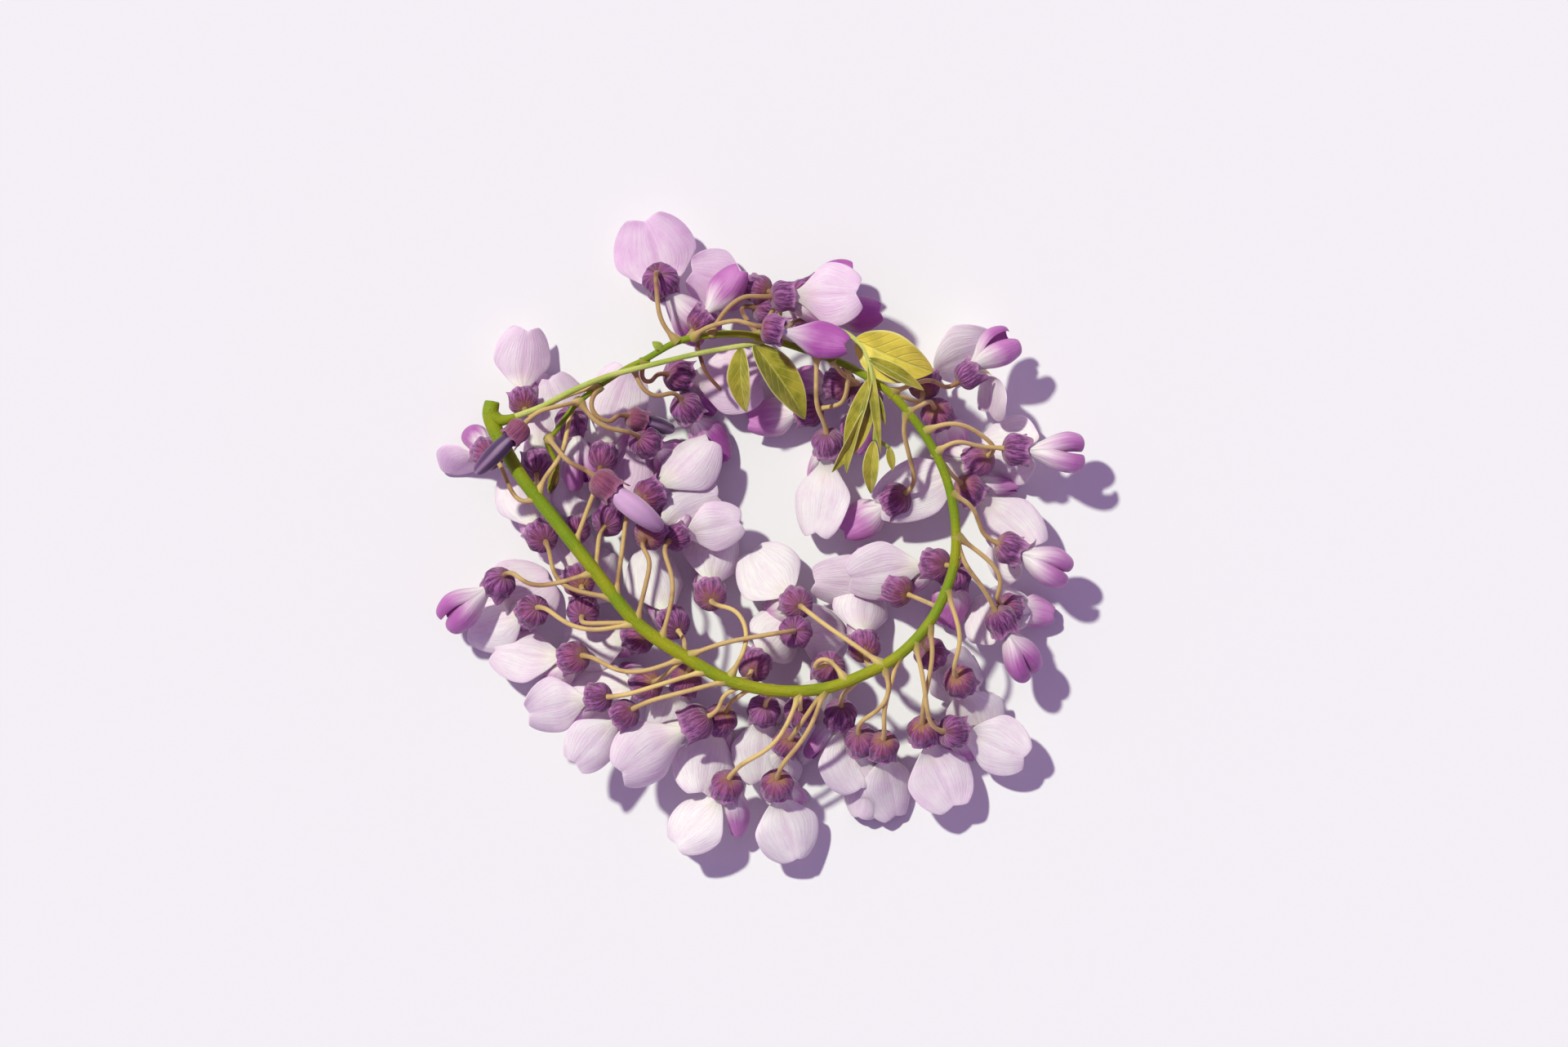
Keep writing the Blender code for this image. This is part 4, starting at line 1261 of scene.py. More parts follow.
@dataclass(frozen=True)
class FlowerShape:
    """The sizes of one wisteria flower, which lies along +X from its stalk with its banner up.

    Lengths are in millimetres and angles in degrees. An outline is the claw's share of the width, where the
    petal starts to widen, where it is widest and where its round end starts. Faces are counted from base to
    tip and across. A wrap is how much of a half turn a wing covers on either side of its middle, and the two
    spreads are how much further one wing and the other open for their splay.
    """

    cup_length: float = 7.0
    cup_solid: tuple[tuple[float, float], ...] = ((0.0, 1.3), (1.6, 3.5), (7.0, 4.2))
    cup_solid_sides: int = 5
    cup_solid_tooth: float = 0.6
    bud_cup: Triple = (0.95, 0.74, 0.74)
    bud_stretch: float = 1.1
    half_open_hood: float = 115.0
    half_open_reflex: float = 14.0
    half_open_widening: float = 1.15
    open_widening: float = 1.08
    wide_open: float = 60.0
    swept_reflex: float = 38.0
    lying_dip: float = 40.0
    lying_height: float = 0.3
    lying_step: float = 0.12
    raised_keel: float = 32.0
    solid_thickness: float = 0.62
    petal_thickness: float = 0.26
    petal_detail: float = 0.8
    banner_length: float = 18.5
    banner_half_width: float = 9.6
    half_open_banner: float = 7.6
    budding_width: float = 0.86
    budding_length: float = 0.84
    budding_top_length: float = 0.98
    banner_notch: float = 0.12
    banner_outline: Stop = (0.17, 0.12, 0.55, 0.55)
    banner_claw_length: float = 4.0
    banner_bend_length: float = 3.5
    banner_start: tuple[float, float] = (3.2, 2.5)
    groove_depth: float = 0.45
    groove_width: float = 0.11
    rim_ripple: float = 0.45
    face_ripple: float = 0.55
    wing_length: float = 16.5
    wing_half_width: float = 3.5
    wing_outline: Stop = (0.25, 0.12, 0.45, 0.5)
    wing_claw_length: float = 4.0
    wing_start: Triple = (3.4, 1.4, -1.5)
    wing_bulge: float = 0.28
    long_wing: float = 1.08
    long_top_wing: float = 1.1
    wing_wrap: float = 0.52
    free_wing_wrap: float = 0.76
    free_wing_girth: tuple[float, float] = (0.35, 0.25)
    free_wing_gap: float = 1.2
    free_wing_tilt: float = 0.9
    wing_spreads: tuple[float, float] = (3.3, 1.1)
    wing_gap: float = 0.12
    wing_frill: float = 0.25
    open_banner_faces: tuple[int, int] = (18, 16)
    half_open_banner_faces: tuple[int, int] = (16, 14)
    wing_faces: tuple[int, int] = (14, 8)
    keel_faces: tuple[int, int] = (12, 10)
    pod_faces: tuple[int, int] = (12, 14)
    keel: Oval = Oval(14.0, 0.9, 2.0, (3.4, -1.7), ((7.0, -0.12), (7.0, 0.95)), 0.35, 0.4, 0.45, 0.58)
    clasped: Oval = Oval(15.5, 2.3, 3.3, (3.4, -1.5), ((8.0, -0.12), (7.5, 0.5)), 0.3, 0.45, 0.5, 0.53)
    pod: Oval = Oval(12.5, 2.4, 3.1, (4.6, 0.2), ((12.5, -0.5),), 0.75, 0.35, 0.35, 0.68)

    def banner_point(self, u: float, v: float, habit: Habit, detail: float = 0.0) -> Vector:
        """Finds a point of the banner.

        Args:
            u: The place from claw to tip.
            v: The place from edge to edge.
            habit: How the flower's petals stand.
            detail: How much of the midline's groove and the rim's small waves to show.

        Returns:
            The point.
        """
        notch = self.banner_notch * (1 - abs(v)) ** 2 * ease(u, 0.6, 1.0)
        blade_length = self.banner_length - self.banner_claw_length - self.banner_bend_length
        bends = (
            (self.banner_claw_length, 0.0),
            (self.banner_bend_length, habit.reflex),
            (blade_length, habit.curl),
        )
        x, z, angle = follow(self.banner_length * (u - notch), bends)
        width = habit.banner_width * petal_half_width(u, *self.banner_outline)
        radius = 2 * width / habit.hood
        across = v * habit.hood / 2
        drop = radius * (1 - math.cos(across))
        drop += habit.wave * width * v * abs(v) * math.sin(5.0 * u + habit.phase)
        groove = self.groove_depth * math.exp(-((v / self.groove_width) ** 2))
        groove *= ease(u, 0.2, 0.45) * (1 - 0.6 * u)
        rim = (ease(abs(v), 0.55, 1.0) + ease(u, 0.8, 1.0)) * ease(u, 0.3, 0.6)
        rim *= self.rim_ripple * math.sin(9.0 * u + 2.0 * habit.phase + 2.5 * v)
        face = self.face_ripple * math.sin(3.1 * v + habit.phase) * math.sin(3.7 * u + habit.wave * 40)
        drop += detail * (groove + rim + face * ease(u, 0.35, 0.7))
        x += self.banner_start[0] + drop * math.sin(angle)
        z += self.banner_start[1] - drop * math.cos(angle)
        return Vector((x, radius * math.sin(across), z))

    def wing_point(self, u: float, v: float, side: int, habit: Habit) -> Vector:
        """Finds a point of the middle of a wing's own solid.

        Args:
            u: The place from claw to tip.
            v: The place from its lower to its upper edge.
            side: The side that it is on, minus one or one.
            habit: How the flower's petals stand.

        Returns:
            The point.
        """
        bends = (
            (self.wing_claw_length, habit.splay),
            (self.wing_length - self.wing_claw_length, -1.7 * habit.splay),
        )
        x, y, angle = follow(self.wing_length * u, bends)
        width = self.wing_half_width * petal_half_width(u, *self.wing_outline)
        bulge = self.wing_bulge * width * (1 - v * v) * ease(u, 0.1, 0.4)
        droop = -0.9 * u + 2.2 * ease(u, 0.55, 1.0)
        lean = habit.lean * v * width * ease(u, 0.1, 0.4)
        x += self.wing_start[0] - bulge * math.sin(angle)
        y += self.wing_start[1] + bulge * math.cos(angle) - lean
        return Vector((x, side * y, v * width + droop + self.wing_start[2]))

    def cup_corners(self) -> list[Vector]:
        """Finds the corners that the cup's own solid has.

        Returns:
            The corners.
        """
        corners = []
        for x, radius in self.cup_solid:
            for side in range(self.cup_solid_sides):
                turn = math.tau * (side + 0.5) / self.cup_solid_sides
                tooth = self.cup_solid_tooth * (-1) ** side if x == self.cup_length else 0.0
                corners.append(Vector((x + tooth, radius * math.sin(turn), radius * math.cos(turn))))
        return corners


@dataclass
class Cup:
    """The cup that a flower's petals grow from, modelled once and copied.

    A ring is its place along the cup and its radius. A crimp is its depth, the number of its folds and their
    twist, and the long tooth is its length, its angle from the upper side and its spread, in degrees.
    """

    shape: FlowerShape
    material: Material
    sides: int = 30
    ribs: int = 12
    rib_depth: float = 0.16
    crimps: tuple[Triple, ...] = ((0.20, 4, 6.0), (0.12, 7, -9.0))
    flounce_depth: float = 0.35
    flounces: int = 7
    frill_depth: float = 0.3
    frills: int = 13
    teeth: int = 5
    tooth_length: float = 0.5
    lower_tooth_length: float = 1.3
    long_tooth: Triple = (1.7, 72.0, 20.0)
    rings: tuple[tuple[float, float], ...] = (
        (0.0, 0.8),
        (0.06, 1.5),
        (0.3, 2.4),
        (0.75, 3.15),
        (1.5, 3.7),
        (2.4, 3.95),
        (3.3, 3.85),
        (4.2, 3.65),
        (4.9, 3.7),
        (5.4, 4.05),
    )

    def master(self) -> Piece:
        """Extrudes a disc ring by ring into a cup, ribs its wall and frills its lip.

        Returns:
            The cup with no thickness yet.
        """
        select()
        bpy.ops.mesh.primitive_circle_add(
            vertices=self.sides, radius=self.rings[0][1], fill_type="NGON", rotation=(0.0, math.pi / 2, 0.0)
        )
        piece = bpy.context.object
        bpy.ops.object.transform_apply(location=True, rotation=True, scale=True)
        bpy.ops.object.mode_set(mode="EDIT")
        bpy.ops.mesh.select_all(action="SELECT")
        for (x, radius), (next_x, next_radius) in zip(self.rings, self.rings[1:]):
            bpy.ops.mesh.extrude_region_move(TRANSFORM_OT_translate={"value": (next_x - x, 0.0, 0.0)})
            grow = next_radius / radius
            bpy.ops.transform.resize(value=(1.0, grow, grow), center_override=(next_x, 0.0, 0.0))
        bpy.ops.mesh.delete(type="ONLY_FACE")
        bpy.ops.mesh.select_all(action="SELECT")
        bpy.ops.mesh.normals_make_consistent(inside=False)
        bpy.ops.object.mode_set(mode="OBJECT")
        flow = []
        for vertex in piece.data.vertices:
            angle = math.atan2(vertex.co.y, vertex.co.z)
            along = vertex.co.x / self.shape.cup_length
            flow.append((math.cos(angle), math.sin(angle), along))
            vertex.co = self.formed(vertex.co, angle, along)
        carry(piece, "flow", flow)
        piece.data.materials.append(self.material)
        return piece

    def formed(self, point: Vector, angle: float, along: float) -> Vector:
        """Ribs the wall and draws the lip out into two short upper teeth and three longer lower ones.

        Args:
            point: A point of the plain cup.
            angle: Its angle from the cup's upper side.
            along: How far along the cup it is.

        Returns:
            Where it goes.
        """
        rib = self.rib_depth * math.sin(self.ribs * angle + 1.5 * math.sin(2 * angle))
        crimp = sum(depth * math.sin(folds * angle + twist * along) for depth, folds, twist in self.crimps)
        flounce = self.flounce_depth * math.sin(self.flounces * angle) * ease(along, 0.6, 0.85)
        radius = math.hypot(point.y, point.z)
        pleats = rib * ease(along, 0.02, 0.25) + crimp * ease(along, 0.05, 0.4)
        grow = (radius + pleats + flounce) / radius
        teeth = (0.5 + 0.5 * math.cos(self.teeth * angle)) ** 1.5
        reach, middle, spread = self.long_tooth
        teeth += reach * math.exp(-(((math.degrees(angle) - middle) / spread) ** 2))
        teeth *= self.tooth_length + self.lower_tooth_length * (0.5 - 0.5 * math.cos(angle))
        frill = self.frill_depth * (math.sin(self.frills * angle) - 1)
        out = ease(along, 0.52, 0.8) * (teeth + frill)
        return Vector((point.x + out, point.y * grow, point.z * grow))

    def copy(self, master: Piece, draw: Triple) -> Piece:
        """Copies the cup.

        Args:
            master: The cup to copy.
            draw: The three values that set the copy's tints.

        Returns:
            The copy, with a mesh of its own.
        """
        piece = master.copy()
        piece.data = master.data.copy()
        bpy.context.scene.collection.objects.link(piece)
        carry(piece, "draw", [draw] * len(piece.data.vertices))
        return piece


@dataclass
class Flower:
    """One flower: its cup, its banner, its wings and its keel, and the ranges that its look is drawn from."""

    bloom: Bloom
    number: int
    shape: FlowerShape
    lilac_range: float = 0.14
    purple_range: float = 0.3
    widths: tuple[float, float] = (0.80, 1.0)
    lengths: tuple[float, float] = (1.04, 1.16)
    swings: tuple[float, float] = (18, 34)
    rolls: tuple[float, float] = (16, 34)
    pale_bud: Triple = (1.0, 0.7, 1.8)
    dark_bud: Triple = (0.0, 0.7, 1.8)

    def __post_init__(self) -> None:
        """Draws the flower's habit, its tints and how its petals lie."""
        bloom = self.bloom
        self.habit = Habit.of(bloom, self.number, self.shape)
        tints = random.Random(TINT_SEED + self.number)
        look = bloom.region.value
        # Painted shade: a flower's extra lilac and purple is partly its own colour and partly painted shade
        # where it lies in shadow.
        lilac = look.lilac + bloom.tint_and_shade + tints.uniform(-self.lilac_range, self.lilac_range)
        purple = look.purple + bloom.tint_and_shade + tints.uniform(-self.purple_range, self.purple_range)
        self.draw = (min(1.0, max(0.0, lilac)), min(1.0, max(0.0, purple)), tints.random())
        self.wide = tints.uniform(*self.widths)
        self.long = tints.uniform(*self.lengths)
        yaw = tints.choice((-1, 1)) * tints.uniform(*self.swings)
        aside = tints.choice((-1, 1)) * tints.uniform(*self.rolls)
        self.yaw = math.radians(bloom.yaw or yaw)
        self.aside = math.radians(bloom.aside or aside)

    def clasped(self) -> bool:
        """Tells whether the wings still clasp the keel."""
        return self.bloom.reflex < self.shape.wide_open

    def faces_down(self) -> bool:
        """Tells whether the flower lies on its wide open banner."""
        return not self.clasped() and self.bloom.dip < self.shape.lying_dip

    def budding(self) -> bool:
        """Tells whether the banner still stands short over the wings, as on the ring's upper half."""
        return self.bloom.stage is HALF and self.bloom.region in (Region.TOP, Region.RIGHT)

    def fuller(self) -> Habit:
        """Makes the flower's habit a little fuller, as the finished petals have it.

        Returns:
            The fuller habit.
        """
        shape, habit = self.shape, self.habit
        if self.budding():
            return replace(habit, banner_width=habit.banner_width * shape.budding_width)
        if self.bloom.stage is HALF:
            return replace(
                habit,
                reflex=habit.reflex + math.radians(shape.half_open_reflex),
                hood=math.radians(shape.half_open_hood),
                banner_width=habit.banner_width * shape.half_open_widening,
            )
        swept = math.radians(shape.swept_reflex) if self.faces_down() else 0.0
        wide = self.wide if self.clasped() else shape.open_widening
        return replace(habit, reflex=habit.reflex + swept, banner_width=habit.banner_width * wide)

    def corners(self) -> list[Vector]:
        """Finds the corners that the flower's own solid has, with its stalk end at the origin.

        Returns:
            The corners.
        """
        shape, habit = self.shape, self.habit
        corners = shape.cup_corners()
        if self.bloom.stage is BUD:
            return corners + shape.pod.corners([step / 4 for step in range(5)], 6)
        rows, columns = (3, 4) if self.bloom.stage is OPEN else (2, 2)
        corners += blade_corners(
            lambda u, v: shape.banner_point(u, v, habit), rows, columns, shape.solid_thickness
        )
        if self.clasped():
            return corners + shape.clasped.corners((0.0, 0.4, 0.75, 1.0), 4)
        for side in (-1, 1):
            wing = partial(self.solid_wing, side)
            corners += blade_corners(wing, 3, 1, shape.solid_thickness)
        return corners + shape.keel.corners((0.0, 0.45, 0.8, 1.0), 4)

    def solid_wing(self, side: int, u: float, v: float) -> Vector:
        """Finds a point of the solid wing on one side."""
        return self.shape.wing_point(u, v * side, side, self.habit)

    def turn(self, turned: float, tipped: float) -> Matrix:
        """Works out how the flower is turned and scaled.

        Args:
            turned: The degrees to add to its heading.
            tipped: The degrees to add to its dip.

        Returns:
            The turn and the scale.
        """
        heading = math.radians(self.bloom.heading + turned)
        dip = math.radians(self.bloom.dip + tipped)
        forward = Vector(
            (math.cos(heading) * math.cos(dip), math.sin(heading) * math.cos(dip), -math.sin(dip))
        )
        left = Vector((0, 0, 1)).cross(forward).normalized()
        turn = Matrix((forward, left, forward.cross(left))).transposed()
        return turn @ Matrix.Rotation(math.radians(self.bloom.roll), 3, "X") * self.bloom.size

    def build(self, cup: Cup, master: Piece, finishes: Finishes) -> tuple[list[Piece], list[Piece]]:
        """Builds the flower with its stalk end at the origin.

        Args:
            cup: The maker of cups.
            master: The cup to copy.
            finishes: The materials.

        Returns:
            The pieces that still need a thickness, and those that are whole bodies.
        """
        bloom, habit, wings = self.bloom, self.fuller(), Coat(finishes.wing, self.draw)
        if bloom.stage is BUD:
            coat = Coat(finishes.bud, self.pale_bud if bloom.size > 1 else self.dark_bud)
            pod = replace(self.shape.pod, length=self.shape.pod.length * self.shape.bud_stretch)
            cup_copy = cup.copy(master, coat.draw)
            cup_copy.data.transform(Matrix.Diagonal((*self.shape.bud_cup, 1.0)))
            return [cup_copy], [tube("pod", pod.point, *self.shape.pod_faces, coat)]
        stretch = self.long
        if self.budding():
            top = bloom.region is Region.TOP
            stretch = self.shape.budding_top_length if top else self.shape.budding_length
        shape = replace(
            self.shape,
            banner_length=self.shape.banner_length * stretch * bloom.petals,
            banner_notch=self.shape.banner_notch * bloom.region.value.notch,
        )

        def banner(u: float, v: float) -> Vector:
            """Finds a point of the finished banner."""
            return self.rolled(shape.banner_point(u, v, habit, shape.petal_detail))

        def keel(u: float, angle: float) -> Vector:
            """Finds a point of the finished keel."""
            return self.rolled(self.raised(shape.keel.point(u, angle)))

        coat = wings if self.budding() else Coat(finishes.banner, self.draw)
        faces = shape.open_banner_faces if bloom.stage is OPEN else shape.half_open_banner_faces
        sheets = [cup.copy(master, self.draw), sheet("banner", banner, *faces, coat)]
        for side in (-1, 1):
            sheets.append(sheet("wing", partial(self.wing_shell, side), *shape.wing_faces, wings))
        if self.clasped():
            return sheets, []
        return sheets, [tube("keel", keel, *shape.keel_faces, Coat(finishes.keel, self.draw))]

    def raised(self, point: Vector) -> Vector:
        """Lifts a point of the wings or the keel of a flower that hangs with its banner folded back.

        Args:
            point: The point.

        Returns:
            Where it goes.
        """
        if self.clasped() or self.faces_down():
            return point
        return self.hinged(point, Matrix.Rotation(math.radians(self.shape.raised_keel), 3, "Y"))

    def swung(self, point: Vector) -> Vector:
        """Swings a point of the wings of a flower with an upright open banner out to one side.

        Args:
            point: The point.

        Returns:
            Where it goes.
        """
        if not self.bloom.yaw and (self.bloom.stage is not OPEN or not self.clasped()):
            return point
        return self.hinged(point, Matrix.Rotation(self.yaw, 3, "Z"))

    def hinged(self, point: Vector, turn: Matrix) -> Vector:
        """Turns a point about where the wings join the cup."""
        hinge = Vector((self.shape.wing_start[0], 0.0, self.shape.wing_start[2]))
        return hinge + turn @ (point - hinge)

    def rolled(self, point: Vector) -> Vector:
        """Rolls a point of the petals of a flower that hangs half on its side.

        Args:
            point: The point.

        Returns:
            Where it goes.
        """
        hanging = self.bloom.aside or self.bloom.region in (Region.LOW, Region.LEFT)
        if not hanging or self.faces_down():
            return point
        return Matrix.Rotation(self.aside, 3, "X") @ point

    def wing_shell(self, side: int, u: float, v: float) -> Vector:
        """Finds a point of a plump wing, closed over its side of the keel or spread away from it.

        Args:
            side: The side that it is on, minus one or one.
            u: The place from claw to tip.
            v: The place from edge to edge.

        Returns:
            The point.
        """
        shape, clasped, wave = self.shape, self.clasped(), math.sin(self.habit.phase)
        body = shape.clasped
        if self.budding() or not clasped:
            longer = shape.long_wing * (shape.long_top_wing if self.bloom.region is Region.TOP else 1.0)
            body = replace(body, length=body.length * longer * self.bloom.petals)
        wrap = shape.wing_wrap if clasped else shape.free_wing_wrap
        point = body.point(u, side * (math.pi / 2 + v * math.pi * wrap))
        opened = 0.0 if clasped else ease(u, 0.12, 0.7)
        fuller, taller = shape.free_wing_girth
        point.y *= 1 + fuller * opened
        point.z *= 1 + taller * opened
        spread = shape.wing_spreads[0 if side * wave > 0 else 1] * self.habit.splay
        point.y += side * (shape.wing_gap + (shape.free_wing_gap + spread) * opened)
        point.z += side * shape.free_wing_tilt * wave * opened
        frill = shape.wing_frill * math.sin(7.0 * u + self.habit.phase)
        point.y += side * frill * v * ease(u, 0.3, 0.8)
        return self.rolled(self.swung(self.raised(point)))

    def lay(self, piece: Piece) -> None:
        """Lays what would reach below the ground flat on it, some petals above others.

        Args:
            piece: The petals.
        """
        height = self.shape.lying_height + self.shape.lying_step * (self.number % 4)
        for vertex in piece.data.vertices:
            vertex.co.z = max(vertex.co.z, height)


class FlowerGroup:
    """The flowers of one node, which lie in each other."""

    def __init__(self, node: str, shape: FlowerShape) -> None:
        """Collects the flowers of a node.

        Args:
            node: The node's name.
            shape: The sizes of a flower.
        """
        self.node = node
        numbered = enumerate(BLOOMS)
        self.flowers = [Flower(bloom, number, shape) for number, bloom in numbered if bloom.node == node]
        self.ends: list[tuple[Bloom, Vector, Vector]] = []

    def slot(self) -> str:
        """Names the material slot of the flowers.

        Returns:
            The slot.
        """
        if all(flower.bloom.stage is BUD for flower in self.flowers):
            return "bud"
        return "lilac" if self.flowers[0].bloom.region is Region.TOP else "bloom"

    def settle(self) -> list[Matrix]:
        """Finds how the node's solid lies, which may be turned and tipped a little from its plan.

        Returns:
            The place of each flower, in millimetres.
        """
        tree = solid_tree(self.node)
        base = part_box(self.node)[0].z / MM - min(flower.bloom.rise for flower in self.flowers)
        plans = [flower.corners() for flower in self.flowers]
        best, places = math.inf, []
        for turned, tipped in itertools.product(TURNS, TIPS):
            apart, count, here = 0.0, 0, []
            for flower, corners in zip(self.flowers, plans):
                turn = flower.turn(turned, tipped)
                moved = [turn @ corner for corner in corners]
                lowest = min(corner.z for corner in moved)
                place = at(*flower.bloom.joint, base + flower.bloom.rise - lowest)
                apart += sum(tree.find_nearest(corner + place)[3] for corner in moved)
                count += len(moved)
                here.append(Matrix.Translation(place) @ turn.to_4x4())
            if apart / count < best:
                best, places = apart / count, here
        LOG.info("%s lies %.2f mm from its solid", self.node, best)
        self.ends = [
            (flower.bloom, place.translation.copy(), place.col[0].xyz.normalized())
            for flower, place in zip(self.flowers, places)
        ]
        return places

    def build(self, cup: Cup, master: Piece, finishes: Finishes) -> Piece:
        """Builds the node's flowers where they lie.

        Args:
            cup: The maker of cups.
            master: The cup to copy.
            finishes: The materials.

        Returns:
            The finished piece.
        """
        sheets, bodies = [], []
        for flower, place in zip(self.flowers, self.settle()):
            thin, whole = flower.build(cup, master, finishes)
            for piece in thin + whole:
                piece.data.transform(place)
            for piece in thin:
                flower.lay(piece)
            sheets += thin
            bodies += whole
        piece = join(sheets, "petals")
        thicken(piece, self.flowers[0].shape.petal_thickness)
        piece = join([piece, *bodies], self.node.replace("bloom", "flowers"))
        soften(piece)
        return complete(piece, self.slot(), self.node)


# How far a flower's solid may be turned and tipped from its plan, and a stalk's arched and swayed.
TURNS = (0, 7, -7, 14, -14, 21, -21, 28, -28)
TIPS = (0, 7, -7, 14, -14, 21)
ARCHES = (2, 3, 4, 1, 5, 0, 6, 7, -1, 8, -2, 9, -3, 10, -4, 12, -5, 14, 16, 18)
SWAYS = (0, 1, -1, 2, -2, 3, -3, 4.5, -4.5, 6, -6, 8, -8, 10, -10)

# The flower stem from the cut heel to the tip: pixel, height and radius in millimetres.
RACHIS = (
    (604, 491, 25.0, 1.9),
    (602, 510, 25.0, 2.1),
    (613, 538, 25.5, 1.9),
    (640, 585, 26.0, 1.75),
    (680, 636, 26.5, 1.75),
    (730, 700, 27.0, 1.7),
    (780, 762, 27.0, 1.7),
    (840, 804, 27.0, 1.65),
    (892, 832, 27.0, 1.6),
    (950, 845, 27.0, 1.55),
    (1010, 842, 27.0, 1.5),
    (1060, 824, 27.0, 1.45),
    (1100, 802, 27.0, 1.4),
    (1136, 764, 27.0, 1.35),
    (1158, 722, 27.0, 1.3),
    (1169, 680, 27.0, 1.25),
    (1168, 630, 27.0, 1.2),
    (1156, 580, 27.0, 1.15),
    (1130, 530, 27.0, 1.1),
    (1090, 482, 27.0, 1.05),
    (1040, 450, 26.5, 1.0),
    (1000, 434, 26.0, 0.95),
    (950, 418, 26.0, 0.9),
    (910, 410, 26.0, 0.9),
    (870, 411, 26.0, 0.9),
    (830, 419, 26.0, 0.85),
    (790, 441, 25.0, 0.8),
    (760, 456, 23.5, 0.75),
    (710, 492, 24.0, 0.7),
    (680, 530, 24.5, 0.65),
    (670, 542, 24.0, 0.6),
    (683, 572, 23.0, 0.6),
    (672, 600, 21.5, 0.6),
)
# The web at the heel where the leaf's stalk leaves the flower stem, given in the same way.
HEEL_WEB = (
    (601, 503, 25.1, 1.3),
    (606, 511, 25.4, 1.85),
    (614, 515, 26.0, 1.55),
    (624, 513.5, 26.5, 1.15),
    (634, 510, 26.8, 0.88),
)
# The young buds at the stem's tip: where their cluster starts and ends, and of each how far back and aside it
# starts, its share of the length and its radius.
TIP_BUDS = ((682, 574, 22.8), (673, 605, 20.0))
YOUNG_BUDS = ((0.0, 0.0, 1.0, 1.35), (0.5, 0.8, 0.75, 0.95), (0.2, -0.8, 0.8, 1.0))
YOUNG_BUD_RINGS = 8
# A scale on the stem, and a stalk whose flower has dropped.
SCALE = ((811, 428, 26.0), (799, 419, 26.8))
SCALE_HALF_WIDTH = 1.1
BARE_STALK = ((858, 411, 26.0, 0.55), (855, 425, 23.8, 0.55), (864, 455, 21.5, 0.55), (883, 478, 18.0, 0.55))


@dataclass
class FlowerStem:
    """The flower stem from its cut heel to its tip, with what grows on it besides the flowers."""

    finishes: Finishes
    sides: int = 14
    steps: int = 6
    solid_steps: int = 2
    scale_thickness: float = 0.3
    draw: Triple = (0.0, 0.0, 0.3)
    bare_draw: Triple = (1.0, 0.0, 0.0)
    bud_draw: Triple = (0.2, 0.0, 0.5)

    def roots(self) -> list[Vector]:
        """Gives the points of the stem's own solid that a stalk may leave."""
        return smooth_path([at(*stop[:3]) for stop in RACHIS], self.solid_steps)

    def build(self) -> Piece:
        """Builds the stem, its tip's young buds, its scale and its bare stalk.

        Returns:
            The finished piece.
        """
        green = Coat(self.finishes.stem, self.draw)
        leaflet = Leaflet(*SCALE, SCALE_HALF_WIDTH, fold=20, roll=0, bow=0.3)
        scale = sheet("scale", leaflet.point, 6, 4, Coat(self.finishes.leaf_stalk, self.draw))
        modify(scale, "SOLIDIFY", thickness=self.scale_thickness, offset=0.0)
        pieces = [
            stem_tube("rachis", RACHIS, self.steps, self.sides, green),
            stem_tube("heel_web", HEEL_WEB, 4, 12, green),
            *self.young_buds(),
            stem_tube("bare_stalk", BARE_STALK, 6, 8, Coat(self.finishes.stalk, self.bare_draw)),
            scale,
        ]
        piece = join(pieces, "flower_stem")
        soften(piece)
        return complete(piece, "stem", "stem")

    def young_buds(self) -> list[Piece]:
        """Builds the cluster of young buds at the stem's tip.

        Returns:
            The buds.
        """
        start, end = (at(*place) for place in TIP_BUDS)
        along = (end - start).normalized()
        across = along.orthogonal().normalized()
        shares = [step / YOUNG_BUD_RINGS for step in range(YOUNG_BUD_RINGS + 1)]
        coat = Coat(self.finishes.young_bud, self.bud_draw)
        pieces = []
        for number, (back, aside, length, radius) in enumerate(YOUNG_BUDS):
            first = start + along * back + across * aside * 0.5
            last = start + (end - start) * length + across * aside
            line = [first.lerp(last, share) for share in shares]
            radii = [radius * math.sin(math.pi * (0.10 + 0.86 * share)) ** 0.7 for share in shares]
            pieces.append(round_tube(f"young_bud_{number}", line, radii, 10, coat))
        return pieces


